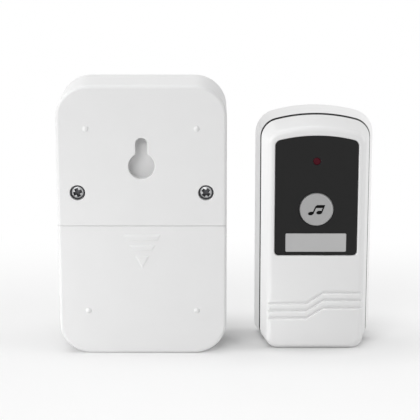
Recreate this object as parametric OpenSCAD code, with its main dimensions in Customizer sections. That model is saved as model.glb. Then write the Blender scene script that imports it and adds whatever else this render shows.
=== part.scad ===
// Wireless doorbell set: a battery chime, seen from its back, and its bell push, seen from its front.
// X runs to the right, Y away from the viewer and Z up, in millimetres.
// The origin is on the floor, midway across the width and the depth of the set.

/* [Set] */
// Clear gap between the two units
set_gap = 12; // [6:0.1:40]
// How far the push's front face stands behind the chime's back face
push_setback = 6; // [0:0.5:20]

/* [Chime casing] */
// Width of the chime
chime_w = 68; // [64:0.5:90]
// Height of the chime
chime_h = 111.2; // [102:0.1:140]
// Depth of the chime
chime_d = 27.6; // [26:0.1:40]
// Corner radius of the chime, seen from the front
chime_corner_r = 13; // [9:0.5:14]
// Rounding of the edge round the back face
back_edge_r = 1.4; // [0.6:0.1:1.8]
// Rounding of the edge round the front face
front_edge_r = 3; // [1:0.1:4]
// Wall of the chime's shells
chime_wall = 2; // [1.6:0.1:2.6]
// Depth of the front cover
cover_d = 7; // [5:0.1:8]
// Thickness of the locating lip inside the front cover
lip_t = 1; // [0.8:0.1:1.4]
// How far the locating lip reaches into the rear housing
lip_reach = 1.6; // [0.8:0.1:1.8]
// Clearance round the locating lip
lip_gap = 0.15; // [0.1:0.05:0.3]

/* [Chime back] */
// Diameter of the keyhole's round end
keyhole_d = 10.5; // [8:0.1:12]
// Width of the keyhole's slot
keyhole_slot_w = 4.7; // [4.4:0.1:6]
// Distance from the chime's top to the centre of the keyhole's round end
keyhole_drop = 32.7; // [28:0.1:36]
// Rise from that centre to the centre of the slot's round top
keyhole_rise = 9.1; // [7:0.1:12]
// Depth of the keyhole's pocket behind the back face
pocket_d = 6.4; // [5.5:0.1:7]
// Room round a screw head behind the keyhole
pocket_gap = 0.6; // [0.3:0.1:1]
// Wall of the keyhole's pocket
pocket_wall = 1.2; // [1:0.1:1.6]
// Diameter of the nubs on the back
nub_d = 2.4; // [1.5:0.1:4]
// Height of the nubs
nub_h = 0.6; // [0.3:0.1:1]
// Distance from the chime's side to the nubs
nub_side = 12; // [9:0.5:16]
// Distance from the chime's top to the upper nubs
nub_drop = 17.5; // [12:0.5:20]
// Height of the lower nubs above the floor
nub_low_z = 18.3; // [12:0.1:24]

/* [Case screws] */
// Distance from the chime's side to the case screws
screw_side = 8.3; // [7.5:0.1:10]
// Distance from the chime's top to the case screws
screw_drop = 43.6; // [38:0.1:46]
// Diameter of the screw wells
well_d = 6.2; // [6:0.1:7]
// Depth of the screw wells
well_depth = 2.4; // [2:0.1:3]
// Head diameter of the case screws
case_head_d = 5.5; // [5:0.1:5.8]
// Head height of the case screws
case_head_h = 1.8; // [1.2:0.1:2]
// Shank diameter of the case screws
case_shank_d = 2.9; // [2.5:0.1:3.2]
// Length of the case screws below the head
case_shank_l = 14; // [11:0.5:16]
// Wall of the screw bosses round their holes
boss_wall = 1.9; // [1.2:0.1:2.2]
// Depth at which the two halves of a screw boss meet
boss_meet = 9; // [7:0.1:10]

/* [Battery door] */
// Height of the battery door
door_h = 53.9; // [52.8:0.1:58]
// Thickness of the door's plate
door_t = 1.8; // [1.4:0.1:2]
// Depth of the door's rim
door_rim_d = 5.3; // [4.8:0.1:6]
// Width of the seam round the door
seam = 0.3; // [0.25:0.05:0.6]
// Reach of the door's runners into the bay's sides
runner_reach = 1.1; // [0.8:0.1:1.3]
// Thickness of the door's runners
runner_t = 1; // [0.8:0.1:1.2]
// Clearance round the runners
runner_gap = 0.35; // [0.3:0.05:0.5]
// Width of the catch tab on the door's top edge
tab_w = 16; // [10:1:30]
// Reach of the catch tab above the door
tab_reach = 3.6; // [2:0.1:6]
// Thickness of the housing's edge over the catch tab
tab_skin = 0.7; // [0.6:0.1:0.8]
// Width of the raised slide arrow
arrow_w = 15.6; // [8:0.1:24]
// Height of the slide arrow
arrow_h = 14.9; // [10:0.1:20]
// Distance from the door's top edge to the arrow
arrow_drop = 3.4; // [2:0.1:8]
// Height of each of the arrow's two bars
arrow_bar = 2.9; // [2:0.1:3.6]
// Space below each bar
arrow_space = 1.5; // [0.8:0.1:2]
// How far the arrow stands out
arrow_raise = 0.45; // [0.2:0.05:0.5]

/* [Cells of the chime] */
// Diameter of an AA cell
cell_d = 14.2; // [13.5:0.1:14.5]
// Length of an AA cell's can
cell_l = 49.2; // [48:0.1:50]
// Diameter of its plus nub
cell_nub_d = 5.5; // [4.2:0.1:5.5]
// Length of its plus nub
cell_nub_l = 1.3; // [1:0.1:1.6]
// Distance between the cells' axes
cell_pitch = 14.8; // [14.6:0.1:15]
// Room between the lowest cell and the bay's floor edge
cell_low_gap = 2.8; // [2:0.1:3]
// Clearance between the cells and the door, the bay's floor and its roof
cell_gap = 0.5; // [0.3:0.1:0.8]
// Wall of the battery bay
bay_wall = 1.4; // [1:0.1:1.6]
// Side wall of the battery bay
bay_side_wall = 2.7; // [2.4:0.1:3]
// Radius of the lower corners of the bay's hollow
bay_corner_r = 6; // [5:0.5:7]
// Thickness of the contact plates
plate_t = 0.4; // [0.3:0.05:0.6]
// Width of the contact plates
plate_w = 8; // [6:0.5:10]
// Diameter of the contact springs' wire
spring_wire_d = 0.8; // [0.6:0.1:1]
// Diameter of the contact springs at the plate
spring_d = 8; // [6:0.5:10]
// Diameter of the contact springs at the cell
spring_tip_d = 5; // [4:0.5:6]
// Turns of the contact springs
spring_turns = 3; // [2:0.5:3]
// Clearance between pieces that touch on the object
touch_gap = 0.15; // [0.1:0.05:0.25]

/* [Chime board] */
// Depth of the board's rear side
board_y = 9.4; // [8.6:0.1:9.8]
// Thickness of the boards
board_t = 1.6; // [1.2:0.1:1.8]
// Distance from the chime's side to the board
board_side = 12.5; // [12.3:0.1:16]
// Distance from the battery bay's roof to the board
board_lift = 2.9; // [2:0.1:4]
// Distance from the chime's top to the board
board_drop = 6.5; // [4:0.5:8]
// Distance from the board's edges to its screws
board_hole_in = 4.4; // [4:0.1:6]
// Shank diameter of the small screws
small_shank_d = 2; // [1.8:0.1:2.4]
// Length of the small screws below the head
small_shank_l = 5; // [4:0.5:6]
// Head diameter of the board screws
board_head_d = 4; // [3.4:0.1:4.6]
// Head height of the small screws
small_head_h = 1.2; // [1:0.1:1.5]
// Diameter of the posts under the boards
post_d = 5.2; // [4.6:0.1:6]
// Diameter of the antenna coil, to its wire's centre
antenna_d = 4.6; // [3:0.1:5]
// Length of the antenna coil
antenna_l = 18; // [12:1:20]
// Turns of the antenna coil
antenna_turns = 9; // [6:1:10]
// Diameter of the antenna's wire
antenna_wire_d = 0.8; // [0.6:0.1:0.9]

/* [Tune button] */
// Distance from the chime's top to the tune button
tune_drop = 28.5; // [24:0.5:34]
// Height of the tune button's cap
tune_h = 8; // [6:0.5:10]
// Width of the tune button's cap
tune_w = 3.6; // [3:0.1:4.4]
// How far the cap stands out of the side
tune_proud = 0.8; // [0.5:0.1:1.5]
// Travel of both buttons
press_travel = 0.8; // [0.4:0.1:0.9]
// Clearance round the buttons
button_gap = 0.3; // [0.25:0.05:0.4]
// Rim that keeps a button in its wall
button_rim = 1; // [0.7:0.1:1.2]
// Diameter of the switches' pins
pin_d = 2.4; // [2:0.1:3]

/* [Speaker] */
// Diameter of the speaker
speaker_d = 40; // [36:0.5:42]
// Distance from the chime's top to the speaker's axis
speaker_drop = 30.5; // [27:0.5:33]
// Thickness of the speaker's rim
speaker_rim_t = 1.2; // [0.8:0.1:1.6]
// Width of the speaker's rim
speaker_rim_w = 2.2; // [1.8:0.1:3]
// Depth of the speaker's basket behind its rim
basket_d = 6.6; // [5:0.1:7]
// Sheet thickness of the basket
basket_t = 1; // [0.6:0.1:1.2]
// Diameter of the magnet
magnet_d = 19; // [15:0.5:22]
// Thickness of the magnet
magnet_t = 4.5; // [3:0.1:4.8]
// Thickness of the foam ring
foam_t = 0.8; // [0.5:0.1:1.2]
// Head diameter of the speaker's clamp screws
clamp_head_d = 6.8; // [6:0.1:7]
// Diameter of the grille holes
grille_hole_d = 2.4; // [1.5:0.1:2.8]
// Distance between the rings of grille holes
grille_pitch = 4.2; // [3.6:0.1:4.4]
// Rings of grille holes
grille_rings = 4; // [2:1:4]

/* [Bell push casing] */
// Width of the push at the wall
push_w = 48.6; // [44:0.1:60]
// Height of the push at the wall
push_h = 98.1; // [92:0.1:120]
// Depth of the push
push_d = 23.8; // [23:0.1:30]
// Draw-in of the sides and the top for each millimetre of depth
push_draft = 0.2; // [0.1:0.01:0.22]
// Depth of the front housing
housing_d = 12.6; // [11.5:0.1:14]
// Thickness of the weather seal
seal_t = 2; // [1:0.1:2.4]
// How far the seal sits in from the outside
seal_in = 0.1; // [0:0.05:0.5]
// Wall of the push's shells
push_wall = 2; // [1.6:0.1:2.2]
// Thickness of the housing's front wall
front_t = 2.4; // [2.2:0.1:3]
// Thickness of the base's rear wall
base_t = 2.2; // [1.8:0.1:2.6]
// Radius of the arched top at the wall
arch_r = 65; // [50:1:120]
// Radius of the push's top corners at the wall
top_corner_r = 10; // [8:0.1:11]
// Radius of the push's bottom corners
low_corner_r = 3.8; // [1.5:0.1:4.5]
// Rounding of the edge round the front face
push_edge_r = 2.4; // [0.8:0.1:2.6]
// Rounding of the edge at the wall
wall_edge = 0.5; // [0.2:0.1:1]
// How far the base's spigot reaches into the housing
spigot_reach = 2.4; // [1.5:0.1:3]
// Clearance between the spigot and the housing
spigot_gap = 0.35; // [0.3:0.05:0.5]
// Wall of the spigot
spigot_wall = 1.4; // [1:0.1:1.8]
// Diameter of the wall screw holes
wall_hole_d = 4.2; // [3.5:0.1:5]
// Diameter of their countersinks
wall_sink_d = 7.4; // [6:0.1:8]
// Height of the lower wall screw hole
wall_hole_z = 14; // [12:0.5:18]
// Distance between the wall screw holes
wall_hole_pitch = 68; // [60:1:70]

/* [Bell push front] */
// Margin between the panel and the front face's sides
panel_side = 2.8; // [1.8:0.1:6]
// Distance from the push's top to the panel's top
panel_drop = 8.6; // [7.6:0.1:12]
// Height of the panel at its middle
panel_h = 49.6; // [48:0.1:54]
// Radius of the panel's top corners
panel_top_r = 2.4; // [1:0.1:3]
// Radius of the panel's bottom corners
panel_low_r = 1.6; // [0.8:0.1:3]
// Thickness of the panel
panel_t = 0.9; // [0.7:0.1:1.2]
// How far the panel's face lies below the housing's face
panel_sink = 0.3; // [0.1:0.05:0.6]
// Clearance round the panel
panel_gap = 0.15; // [0.1:0.05:0.3]
// Diameter of the bell button
button_d = 13.4; // [10:0.1:16]
// Height of the button's axis above the panel's lower edge
button_up = 19.3; // [18:0.1:22]
// How far the button stands out of the panel
button_proud = 0.7; // [0.3:0.1:1.5]
// Rounding of the button's edge
button_edge_r = 0.5; // [0.2:0.1:0.6]
// Diameter of the lamp
led_d = 3; // [2:0.1:3.4]
// Distance from the panel's top to the lamp
led_drop = 10.4; // [8:0.1:13]
// Margin between the name plate and the panel's sides
plate_side = 4.4; // [3:0.1:8]
// Height of the name plate
name_h = 7.7; // [5:0.1:8.5]
// Height of the name plate's lower edge above the panel's
name_up = 1.5; // [1:0.1:2]
// Thickness of the name plate
name_t = 0.4; // [0.3:0.05:0.6]
// How far the name plate is let into the panel
name_sink = 0.25; // [0.1:0.05:0.3]
// Height of the lowest groove's left run
groove_z = 12.5; // [9:0.1:15]
// Distance between the grooves
groove_pitch = 3.2; // [2.5:0.1:3.6]
// Rise of the grooves from left to right
groove_step = 4.45; // [2:0.05:5]
// Width of the grooves' slanted middle
groove_run = 7; // [5:0.1:12]
// Width of a groove
groove_w = 1.3; // [0.6:0.1:1.6]
// Depth of a groove
groove_d = 0.8; // [0.3:0.1:1]
// Number of grooves
groove_count = 3; // [1:1:4]

/* [Bell push inside] */
// Depth of the push board's front side
push_board_y = 8.4; // [8:0.1:8.6]
// Margin between the push board and the housing's inside
push_board_gap = 2; // [1.5:0.1:3]
// Width of the bell switch
switch_w = 6; // [5:0.5:7]
// Height of both switches' bodies
switch_h = 3.4; // [3:0.1:3.6]
// Diameter of the push's cell
push_cell_d = 10.2; // [9:0.1:10.3]
// Length of the push's cell without its nub
push_cell_l = 27.4; // [26:0.1:28]
// Length of its plus nub
push_cell_nub_l = 1.1; // [0.8:0.1:1.4]
// Diameter of its plus nub
push_cell_nub_d = 4; // [3:0.1:5]
// Height of the cell's lower end
push_cell_z = 19; // [17:0.1:20]
// Room for the cell's spring
push_spring_l = 4; // [3:0.1:4.5]
// Thickness of the cell's clips
clip_t = 0.5; // [0.4:0.1:0.7]
// Foot of the cell's clips on the board
clip_foot = 3; // [2:0.1:4]

/* [Hidden] */
$fn = 48;

// How far a cut runs past the face it opens
over = 1;
// Clearance between a screw's thread and the hole drawn for it
thread_gap = 0.05;
// Clearance of a screw's shank in a plain hole
shank_gap = 0.3;

// Places of the two units
set_w = tune_proud + chime_w + set_gap + push_w;
set_near_y = -nub_h;
set_far_y = max(chime_d, push_setback + push_d);
chime_x = tune_proud + chime_w / 2 - set_w / 2;
chime_y = -(set_near_y + set_far_y) / 2;
push_x = set_w / 2 - push_w / 2;
push_y = chime_y + push_setback;

// Chime casing
rear_d = chime_d - cover_d;
cover_in_y = chime_d - chime_wall;
half_w = chime_w / 2;
nub_x = half_w - nub_side;
keyhole_z = chime_h - keyhole_drop;
slot_z = keyhole_z + keyhole_rise;
pocket_r = keyhole_d / 2 + pocket_gap;
screw_x = half_w - screw_side;
screw_z = chime_h - screw_drop;
boss_hole_d = case_shank_d + 2 * shank_gap;
case_pilot_d = case_shank_d + 2 * thread_gap;
small_pilot_d = small_shank_d + 2 * thread_gap;
small_hole_d = small_shank_d + 2 * shank_gap;

// Battery bay and door
door_top = door_h + seam;
bay_front_y = door_t + cell_gap;
bay_floor_y = bay_front_y + cell_d + cell_gap;
bay_end_y = bay_floor_y + bay_wall;
bay_step_y = door_rim_d + seam;
bay_half = half_w - chime_wall - seam - bay_side_wall;
bay_low_z = 2 * chime_wall;
cell_y = bay_front_y + cell_d / 2;
cell_low_z = bay_low_z + cell_low_gap + cell_d / 2;
cell_count = 3;
bay_high_z = cell_low_z + (cell_count - 1) * cell_pitch + cell_d / 2 + cell_gap;
roof_z = door_top + bay_wall;
runner_x = half_w - chime_wall - runner_reach;
runner_y = door_rim_d - runner_t - runner_gap;
runner_low_z = chime_corner_r + nub_d;
runner_high_z = door_h - nub_d;
tab_y = tab_skin + runner_gap;
plate_x = bay_half - touch_gap - plate_t;
tail_w = 3;
tail_reach = 1.4;
cell_tip_x = plate_x - touch_gap;
cell_end_x = cell_tip_x - cell_nub_l - cell_l;

// Chime board
board_face_y = board_y + board_t;
board_half = half_w - board_side;
board_low_z = roof_z + board_lift;
board_high_z = chime_h - board_drop;
board_hole_x = board_half - board_hole_in;
board_pilot_y = board_face_y - small_shank_l - button_gap;
board_hole_zs = [board_low_z + board_hole_in, board_high_z - board_hole_in];
tune_z = chime_h - tune_drop;
tune_y = board_face_y + switch_h / 2;
tune_body_l = 3.4;
tune_pin_out = 2;
switch_floor = 1;
chip_r = 4.2;
chip_h = 1.4;
module_w = 9;
module_h = 14;
module_t = 2.2;
module_in = 1;
can_r = 3;
can_h = 4.6;

// Speaker
speaker_z = chime_h - speaker_drop;
speaker_r = speaker_d / 2;
rim_face_y = cover_in_y - foam_t;
rim_back_y = rim_face_y - speaker_rim_t;
magnet_face_y = rim_back_y - basket_d;
basket_r = speaker_r - speaker_rim_w;
basket_back_r = magnet_d / 2 + basket_t;
cone_t = 0.5;
cone_r = basket_r - basket_t - touch_gap;
dust_cap_r = magnet_d / 4;
cone_back_y = magnet_face_y + 2 * basket_t;
clamp_r = speaker_r + small_pilot_d / 2 + boss_wall / 2 + touch_gap;
clamp_boss_r = small_pilot_d / 2 + boss_wall / 2;
clamp_places = [for (a = [45:90:315]) [clamp_r * cos(a), speaker_z + clamp_r * sin(a)]];
tag_w = 12;
tag_t = 1.2;
tag_back_y = rim_back_y - basket_d / 2;
tag_low_z = speaker_z - basket_r;

// Capacitor level with the chip, or lower where the magnet comes down
can_x = board_half / 2;
can_clear = magnet_d / 2 + can_r + touch_gap;
can_z = min(board_low_z + 2 * chip_r, speaker_z - sqrt(max(can_clear ^ 2 - can_x ^ 2, 0)));

// Leads inside the chime
lead_r = 0.6;
lead_x = plate_x - touch_gap - lead_r;
lead_y = bay_end_y + lead_r + 2 * touch_gap;
lead_board_z = board_low_z + 2 * lead_r;
lead_board_y = board_face_y + touch_gap;

// Bell push casing
base_y = housing_d + seal_t;
seal_w = push_wall + spigot_gap - seal_in - touch_gap;
front_inset = push_draft * push_d;
front_half = push_w / 2 - front_inset;
panel_half = front_half - panel_side;
panel_top = push_h - panel_drop;
panel_low = panel_top - panel_h;
panel_back_y = panel_sink + panel_t;
button_z = panel_low + button_up;
button_r = button_d / 2;
button_hole_r = button_r + button_gap;
led_z = panel_top - led_drop;
name_half = panel_half - plate_side;
name_low = panel_low + name_up;
base_in_y = push_d - base_t;
edge_steps = 5;
corner_steps = 6;
crown_steps = 12;
least_corner_r = 0.4;

// Bell push inside
push_board_back = push_board_y + board_t;
push_board_half = push_w / 2 - draw_in(push_board_y) - push_wall - push_board_gap;
push_board_low = push_wall + 2 * push_board_gap;
push_board_high = push_h - draw_in(push_board_y) - push_wall - 3 * push_board_gap;
push_post_x = push_board_half - board_hole_in;
push_posts = [
    [-push_post_x, led_z - post_d],
    [push_post_x, push_board_low + board_hole_in]
];
switch_face_y = push_board_y - switch_h;
flange_y = front_t + button_gap;
flange_t = 1.2;
stem_end_y = switch_face_y - press_travel - button_gap;
push_pin_end = push_board_y - switch_floor - press_travel - button_gap;
push_pilot_y = push_board_back - small_shank_l - button_gap;
push_cell_y = push_board_back + cell_gap + push_cell_d / 2;
clip_reach = push_cell_d - 2 * clip_t;
clip_half = 4;
clip_low_z = push_cell_z - push_spring_l - touch_gap;
clip_high_z = push_cell_z + push_cell_l + push_cell_nub_l + touch_gap;
can_d = 9.2;
resonator_h = 3.2;
encoder_size = [8, 1.6, 5];
parts_z = clip_high_z + clip_foot + can_d;

white = "#e6e7e7";
steel = "#a9acae";
copper = "#b8753f";
board_green = "#2f6b46";

// Drawing helpers

module at_chime() translate([chime_x, chime_y, 0]) children();

module at_push() translate([push_x, push_y, 0]) children();

// Extrudes an XZ drawing from depth y0 to depth y1
module slab(y0, y1) translate([0, y1, 0]) rotate([90, 0, 0]) linear_extrude(y1 - y0) children();

// Extrudes a YZ drawing from x0 to x1
module side_slab(x0, x1) translate([x0, 0, 0]) rotate([90, 0, 90]) linear_extrude(x1 - x0) children();

// Box between two corners
module block(low, high) translate(low) cube(high - low);

// Round rod along Y
module rod(x, z, r, y0, y1) translate([x, y0, z]) rotate([-90, 0, 0]) cylinder(r = r, h = y1 - y0);

// Turns a drawing of radius and depth round an axis along Y
module turned(x, z) translate([x, 0, z]) rotate([-90, 0, 0]) rotate_extrude() children();

// Rectangle with rounded corners, centred across X
module rounded_rect(w, z0, z1, r) {
    translate([r - w / 2, z0]) square([w - 2 * r, z1 - z0]);
    translate([-w / 2, z0 + r]) square([w, z1 - z0 - 2 * r]);
    for (x = [r - w / 2, w / 2 - r], z = [z0 + r, z1 - r])
        translate([x, z]) circle(r);
}

// Upright slot with round ends
module stadium(x, z0, z1, r) {
    translate([x - r, z0]) square([2 * r, z1 - z0]);
    for (z = [z0, z1])
        translate([x, z]) circle(r);
}

// The chime's outline, drawn in by a distance
module chime_outline(inset) {
    rounded_rect(chime_w - 2 * inset, inset, chime_h - inset, chime_corner_r - inset);
}

// Half section of a rounded edge: radius across, depth along
module edge_section(r, d, edge) {
    square([r - edge, d]);
    translate([0, edge]) square([r, d - edge]);
    translate([r - edge, edge]) circle(edge);
}

// The chime's rounded box from the face at y = 0 to depth d, with the edge of that face rounded
module soft_box(d, edge) {
    r = chime_corner_r;
    x = half_w - r;
    corners = [[x, r], [-x, r], [-x, chime_h - r], [x, chime_h - r]];
    block([-x, 0, r], [x, d, chime_h - r]);
    for (k = [0:3])
        translate([corners[k][0], 0, corners[k][1]]) rotate([0, 90 * k, 0]) {
            linear_extrude(k % 2 == 0 ? chime_h - 2 * r : 2 * x) edge_section(r, d, edge);
            rotate([-90, 0, 0]) rotate_extrude(angle = 90) edge_section(r, d, edge);
        }
}

// Small dome that stands out of the back face
module nub(x, z) {
    ball_r = (pow(nub_d / 2, 2) + pow(nub_h, 2)) / (2 * nub_h);
    intersection() {
        translate([x, ball_r - nub_h, z]) sphere(ball_r);
        block([x - nub_d, -nub_h, z - nub_d], [x + nub_d, door_t / 2, z + nub_d]);
    }
}

// Screw with a round head on the plane y = 0 and its shank along +Y
module screw(head_d, head_h, shank_d, shank_l) {
    rod(0, 0, head_d / 2, -head_h, 0);
    rod(0, 0, shank_d / 2, -head_h / 2, shank_l);
}

// Vector helpers
function unit(v) = v / norm(v);
function tangent(path, k) = unit(path[min(k + 1, len(path) - 1)] - path[max(k - 1, 0)]);

// Ring of a tube about point k of its path
function tube_ring(path, k, r, sides, side_dir) =
    let (across = unit(cross(tangent(path, k), side_dir)), up = cross(tangent(path, k), across))
    [for (s = [0:sides - 1]) path[k] + r * (cos(360 * s / sides) * across + sin(360 * s / sides) * up)];

// Side faces between rings of n points, and the two end caps
function ring_faces(rings, n) = concat(
    [[for (s = [0:n - 1]) s]],
    [for (k = [0:rings - 2], s = [0:n - 1]) [k * n + s, (k + 1) * n + s, k * n + (s + 1) % n]],
    [for (k = [0:rings - 2], s = [0:n - 1])
        [(k + 1) * n + s, (k + 1) * n + (s + 1) % n, k * n + (s + 1) % n]],
    [[for (s = [n - 1:-1:0]) (rings - 1) * n + s]]
);

// Round tube along a path; side_dir is a direction that the path never follows
module tube(path, r, side_dir, sides = 8) {
    points = [for (k = [0:len(path) - 1]) each tube_ring(path, k, r, sides, side_dir)];
    polyhedron(points, ring_faces(len(path), sides));
}

// Path of a coil along X that starts at x = 0
function coil_path(r0, r1, length, turns, steps = 10) = [
    for (k = [0:turns * steps])
        let (t = k / (turns * steps), a = 360 * turns * t, r = r0 + (r1 - r0) * t)
        [length * t, r * cos(a), r * sin(a)]
];

// Points of an arc after its first point
function arc(x, z, r, a0, a1, steps) = [
    for (k = [1:steps]) let (a = a0 + (a1 - a0) * k / steps) [x + r * cos(a), z + r * sin(a)]
];

// Outline with an arched top, rounded corners and a flat bottom, from its lower right corner
function arch_outline(half, top, low, crown_r, top_r, low_r) =
    let (
        crown_z = top - crown_r,
        x = half - top_r,
        z = crown_z + sqrt(pow(crown_r - top_r, 2) - pow(x, 2)),
        lean = atan2(z - crown_z, x)
    )
    concat(
        [[half - low_r, low]],
        arc(half - low_r, low + low_r, low_r, -90, 0, corner_steps),
        arc(x, z, top_r, 0, lean, corner_steps),
        arc(0, crown_z, crown_r, lean, 180 - lean, crown_steps),
        arc(-x, z, top_r, 180 - lean, 180, corner_steps),
        arc(low_r - half, low + low_r, low_r, 180, 270, corner_steps)
    );

// How far the push's side is drawn in at a depth
function draw_in(y) = push_draft * (push_d - y);

// The push's outline drawn in by a distance, with its floor raised and its bottom corners tightened
function push_outline(inset, floor_z, tighten) = arch_outline(
    push_w / 2 - inset, push_h - inset, floor_z, arch_r - inset,
    max(top_corner_r - inset, least_corner_r), max(low_corner_r - tighten, least_corner_r)
);

// The panel's outline, grown by a distance
function panel_outline(grow) = arch_outline(
    panel_half + grow, panel_top + grow, panel_low - grow, arch_r - panel_side + grow,
    panel_top_r + grow, panel_low_r + grow
);

// Solid through outlines: levels are pairs of depth and outline, from the farthest to the nearest
module loft(levels) {
    points = [for (level = levels) for (p = level[1]) [p[0], level[0], p[1]]];
    polyhedron(points, ring_faces(len(levels), len(levels[0][1])));
}

// Outside of the front housing, with its front edge rounded
function housing_levels() =
    let (
        slope = sqrt(1 + pow(push_draft, 2)),
        middle = front_inset + push_edge_r * (slope - push_draft),
        last = acos(push_draft / slope)
    )
    concat(
        [[housing_d, push_outline(draw_in(housing_d), 0, 0)]],
        [for (k = [edge_steps:-1:0])
            let (
                a = last * k / edge_steps,
                y = push_edge_r * (1 - cos(a)),
                inset = middle - push_edge_r * sin(a)
            )
            [y, push_outline(inset, inset - draw_in(y), 0)]]
    );

// Inside of the push between two depths, drawn in from its wall by a clearance
function inside_levels(y0, y1, inset) = [
    for (y = [y1, y0])
        [y, push_outline(draw_in(y) + push_wall + inset, push_wall + inset, push_wall + inset)]
];

// A side of the weather seal between two depths, at a distance in from the push's outside
function seal_levels(y0, y1, inset) = [
    for (y = [y1, y0])
        [y, push_outline(draw_in(y) + inset, inset, inset)]
];

// Chime

module chime_rear_housing() color(white) at_chime() difference() {
    union() {
        difference() {
            soft_box(rear_d, back_edge_r);
            slab(chime_wall, rear_d + over) chime_outline(chime_wall);
            block([-chime_w, -over, -over], [chime_w, bay_step_y, door_top]);
        }
        bay_walls();
        slab(chime_wall / 2, pocket_d + pocket_wall)
            stadium(0, keyhole_z, slot_z, pocket_r + pocket_wall);
        for (side = [-1, 1]) {
            rod(side * screw_x, screw_z, well_d / 2 + boss_wall / 2, chime_wall / 2, boss_meet);
            nub(side * nub_x, chime_h - nub_drop);
            for (z = board_hole_zs)
                rod(side * board_hole_x, z, post_d / 2, chime_wall / 2, board_y);
        }
    }
    slab(-over, bay_floor_y) bay_drawing();
    runner_grooves();
    block(
        [-tab_w / 2 - runner_gap, tab_skin, bay_high_z - over],
        [tab_w / 2 + runner_gap, door_t + runner_gap, door_h + tab_reach + runner_gap]
    );
    for (side = [-1, 1])
        tail_slot(side);
    rod(0, keyhole_z, keyhole_d / 2, -over, pocket_d);
    slab(-over, pocket_d) stadium(0, keyhole_z, slot_z, keyhole_slot_w / 2);
    slab(chime_wall, pocket_d) stadium(0, keyhole_z, slot_z, pocket_r);
    for (side = [-1, 1]) {
        rod(side * screw_x, screw_z, well_d / 2, -over, well_depth);
        rod(side * screw_x, screw_z, boss_hole_d / 2, -over, boss_meet + over);
        for (z = board_hole_zs)
            rod(side * board_hole_x, z, small_pilot_d / 2, board_pilot_y, board_y + over);
    }
    side_slab(-half_w - over, -half_w + chime_wall + over) tune_drawing(button_gap);
}

// Hollow of the battery bay, with round lower corners
module bay_drawing() {
    rounded_rect(2 * bay_half, bay_low_z, bay_high_z, bay_corner_r);
    translate([-bay_half, bay_low_z + bay_corner_r])
        square([2 * bay_half, bay_high_z - bay_low_z - bay_corner_r]);
}

// Walls of the battery bay: full width behind the door's rim, stepped in beside it
module bay_walls() {
    slab(bay_step_y, bay_end_y) intersection() {
        chime_outline(chime_wall / 2);
        translate([-half_w, 0]) square([chime_w, roof_z]);
    }
    slab(bay_front_y, bay_step_y) intersection() {
        chime_outline(chime_wall + seam);
        translate([-half_w, 0]) square([chime_w, roof_z]);
    }
    block(
        [chime_wall / 2 - half_w, chime_wall / 2, door_top],
        [half_w - chime_wall / 2, bay_end_y, roof_z]
    );
}

// Grooves in the bay's sides for the door's runners
module runner_grooves() {
    for (side = [0, 1])
        mirror([side, 0, 0]) block(
            [runner_x - runner_gap, runner_y - runner_gap, -over],
            [half_w - chime_wall, runner_y + runner_t + runner_gap, door_top]
        );
}

// Slot in the bay's floor for the tail of an end plate
module tail_slot(side) {
    z = side > 0 ? cell_z(cell_count - 1) : cell_z(0);
    x = side * (plate_x + plate_t / 2);
    wide = plate_t / 2 + touch_gap;
    high = tail_w / 2 + touch_gap;
    block([x - wide, bay_floor_y - over, z - high], [x + wide, bay_end_y + over, z + high]);
}

function cell_z(k) = cell_low_z + k * cell_pitch;

// Cells lie with their plus ends to the right and to the left in turn
function cell_side(k) = k % 2 == 0 ? 1 : -1;

module battery_door() color(white) at_chime() {
    difference() {
        soft_box(door_rim_d, back_edge_r);
        slab(door_t, door_rim_d + over) chime_outline(chime_wall);
        block([-chime_w, -over, door_h], [chime_w, door_rim_d + over, chime_h + over]);
    }
    for (side = [0, 1])
        mirror([side, 0, 0]) block(
            [runner_x, runner_y, runner_low_z],
            [half_w - chime_wall / 2, runner_y + runner_t, runner_high_z]
        );
    block([-tab_w / 2, tab_y, door_h - over], [tab_w / 2, door_t, door_h + tab_reach]);
    for (x = [-nub_x, nub_x])
        nub(x, nub_low_z);
    slide_arrow();
}

// Arrow that points down, cut into two bars and a tip
module slide_arrow() {
    step = arrow_bar + arrow_space;
    for (bar = [[0, arrow_bar], [step, step + arrow_bar], [2 * step, arrow_h]])
        slab(-arrow_raise, door_t / 2) polygon([
            for (corner = [[-1, bar[0]], [1, bar[0]], [1, bar[1]], [-1, bar[1]]])
                if (corner[0] < 0 || corner[1] < arrow_h)
                    [corner[0] * arrow_w / 2 * (1 - corner[1] / arrow_h), door_h - arrow_drop - corner[1]]
        ]);
}

module case_screws() color(steel) at_chime() {
    for (x = [-screw_x, screw_x])
        translate([x, well_depth, screw_z]) screw(case_head_d, case_head_h, case_shank_d, case_shank_l);
}

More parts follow.
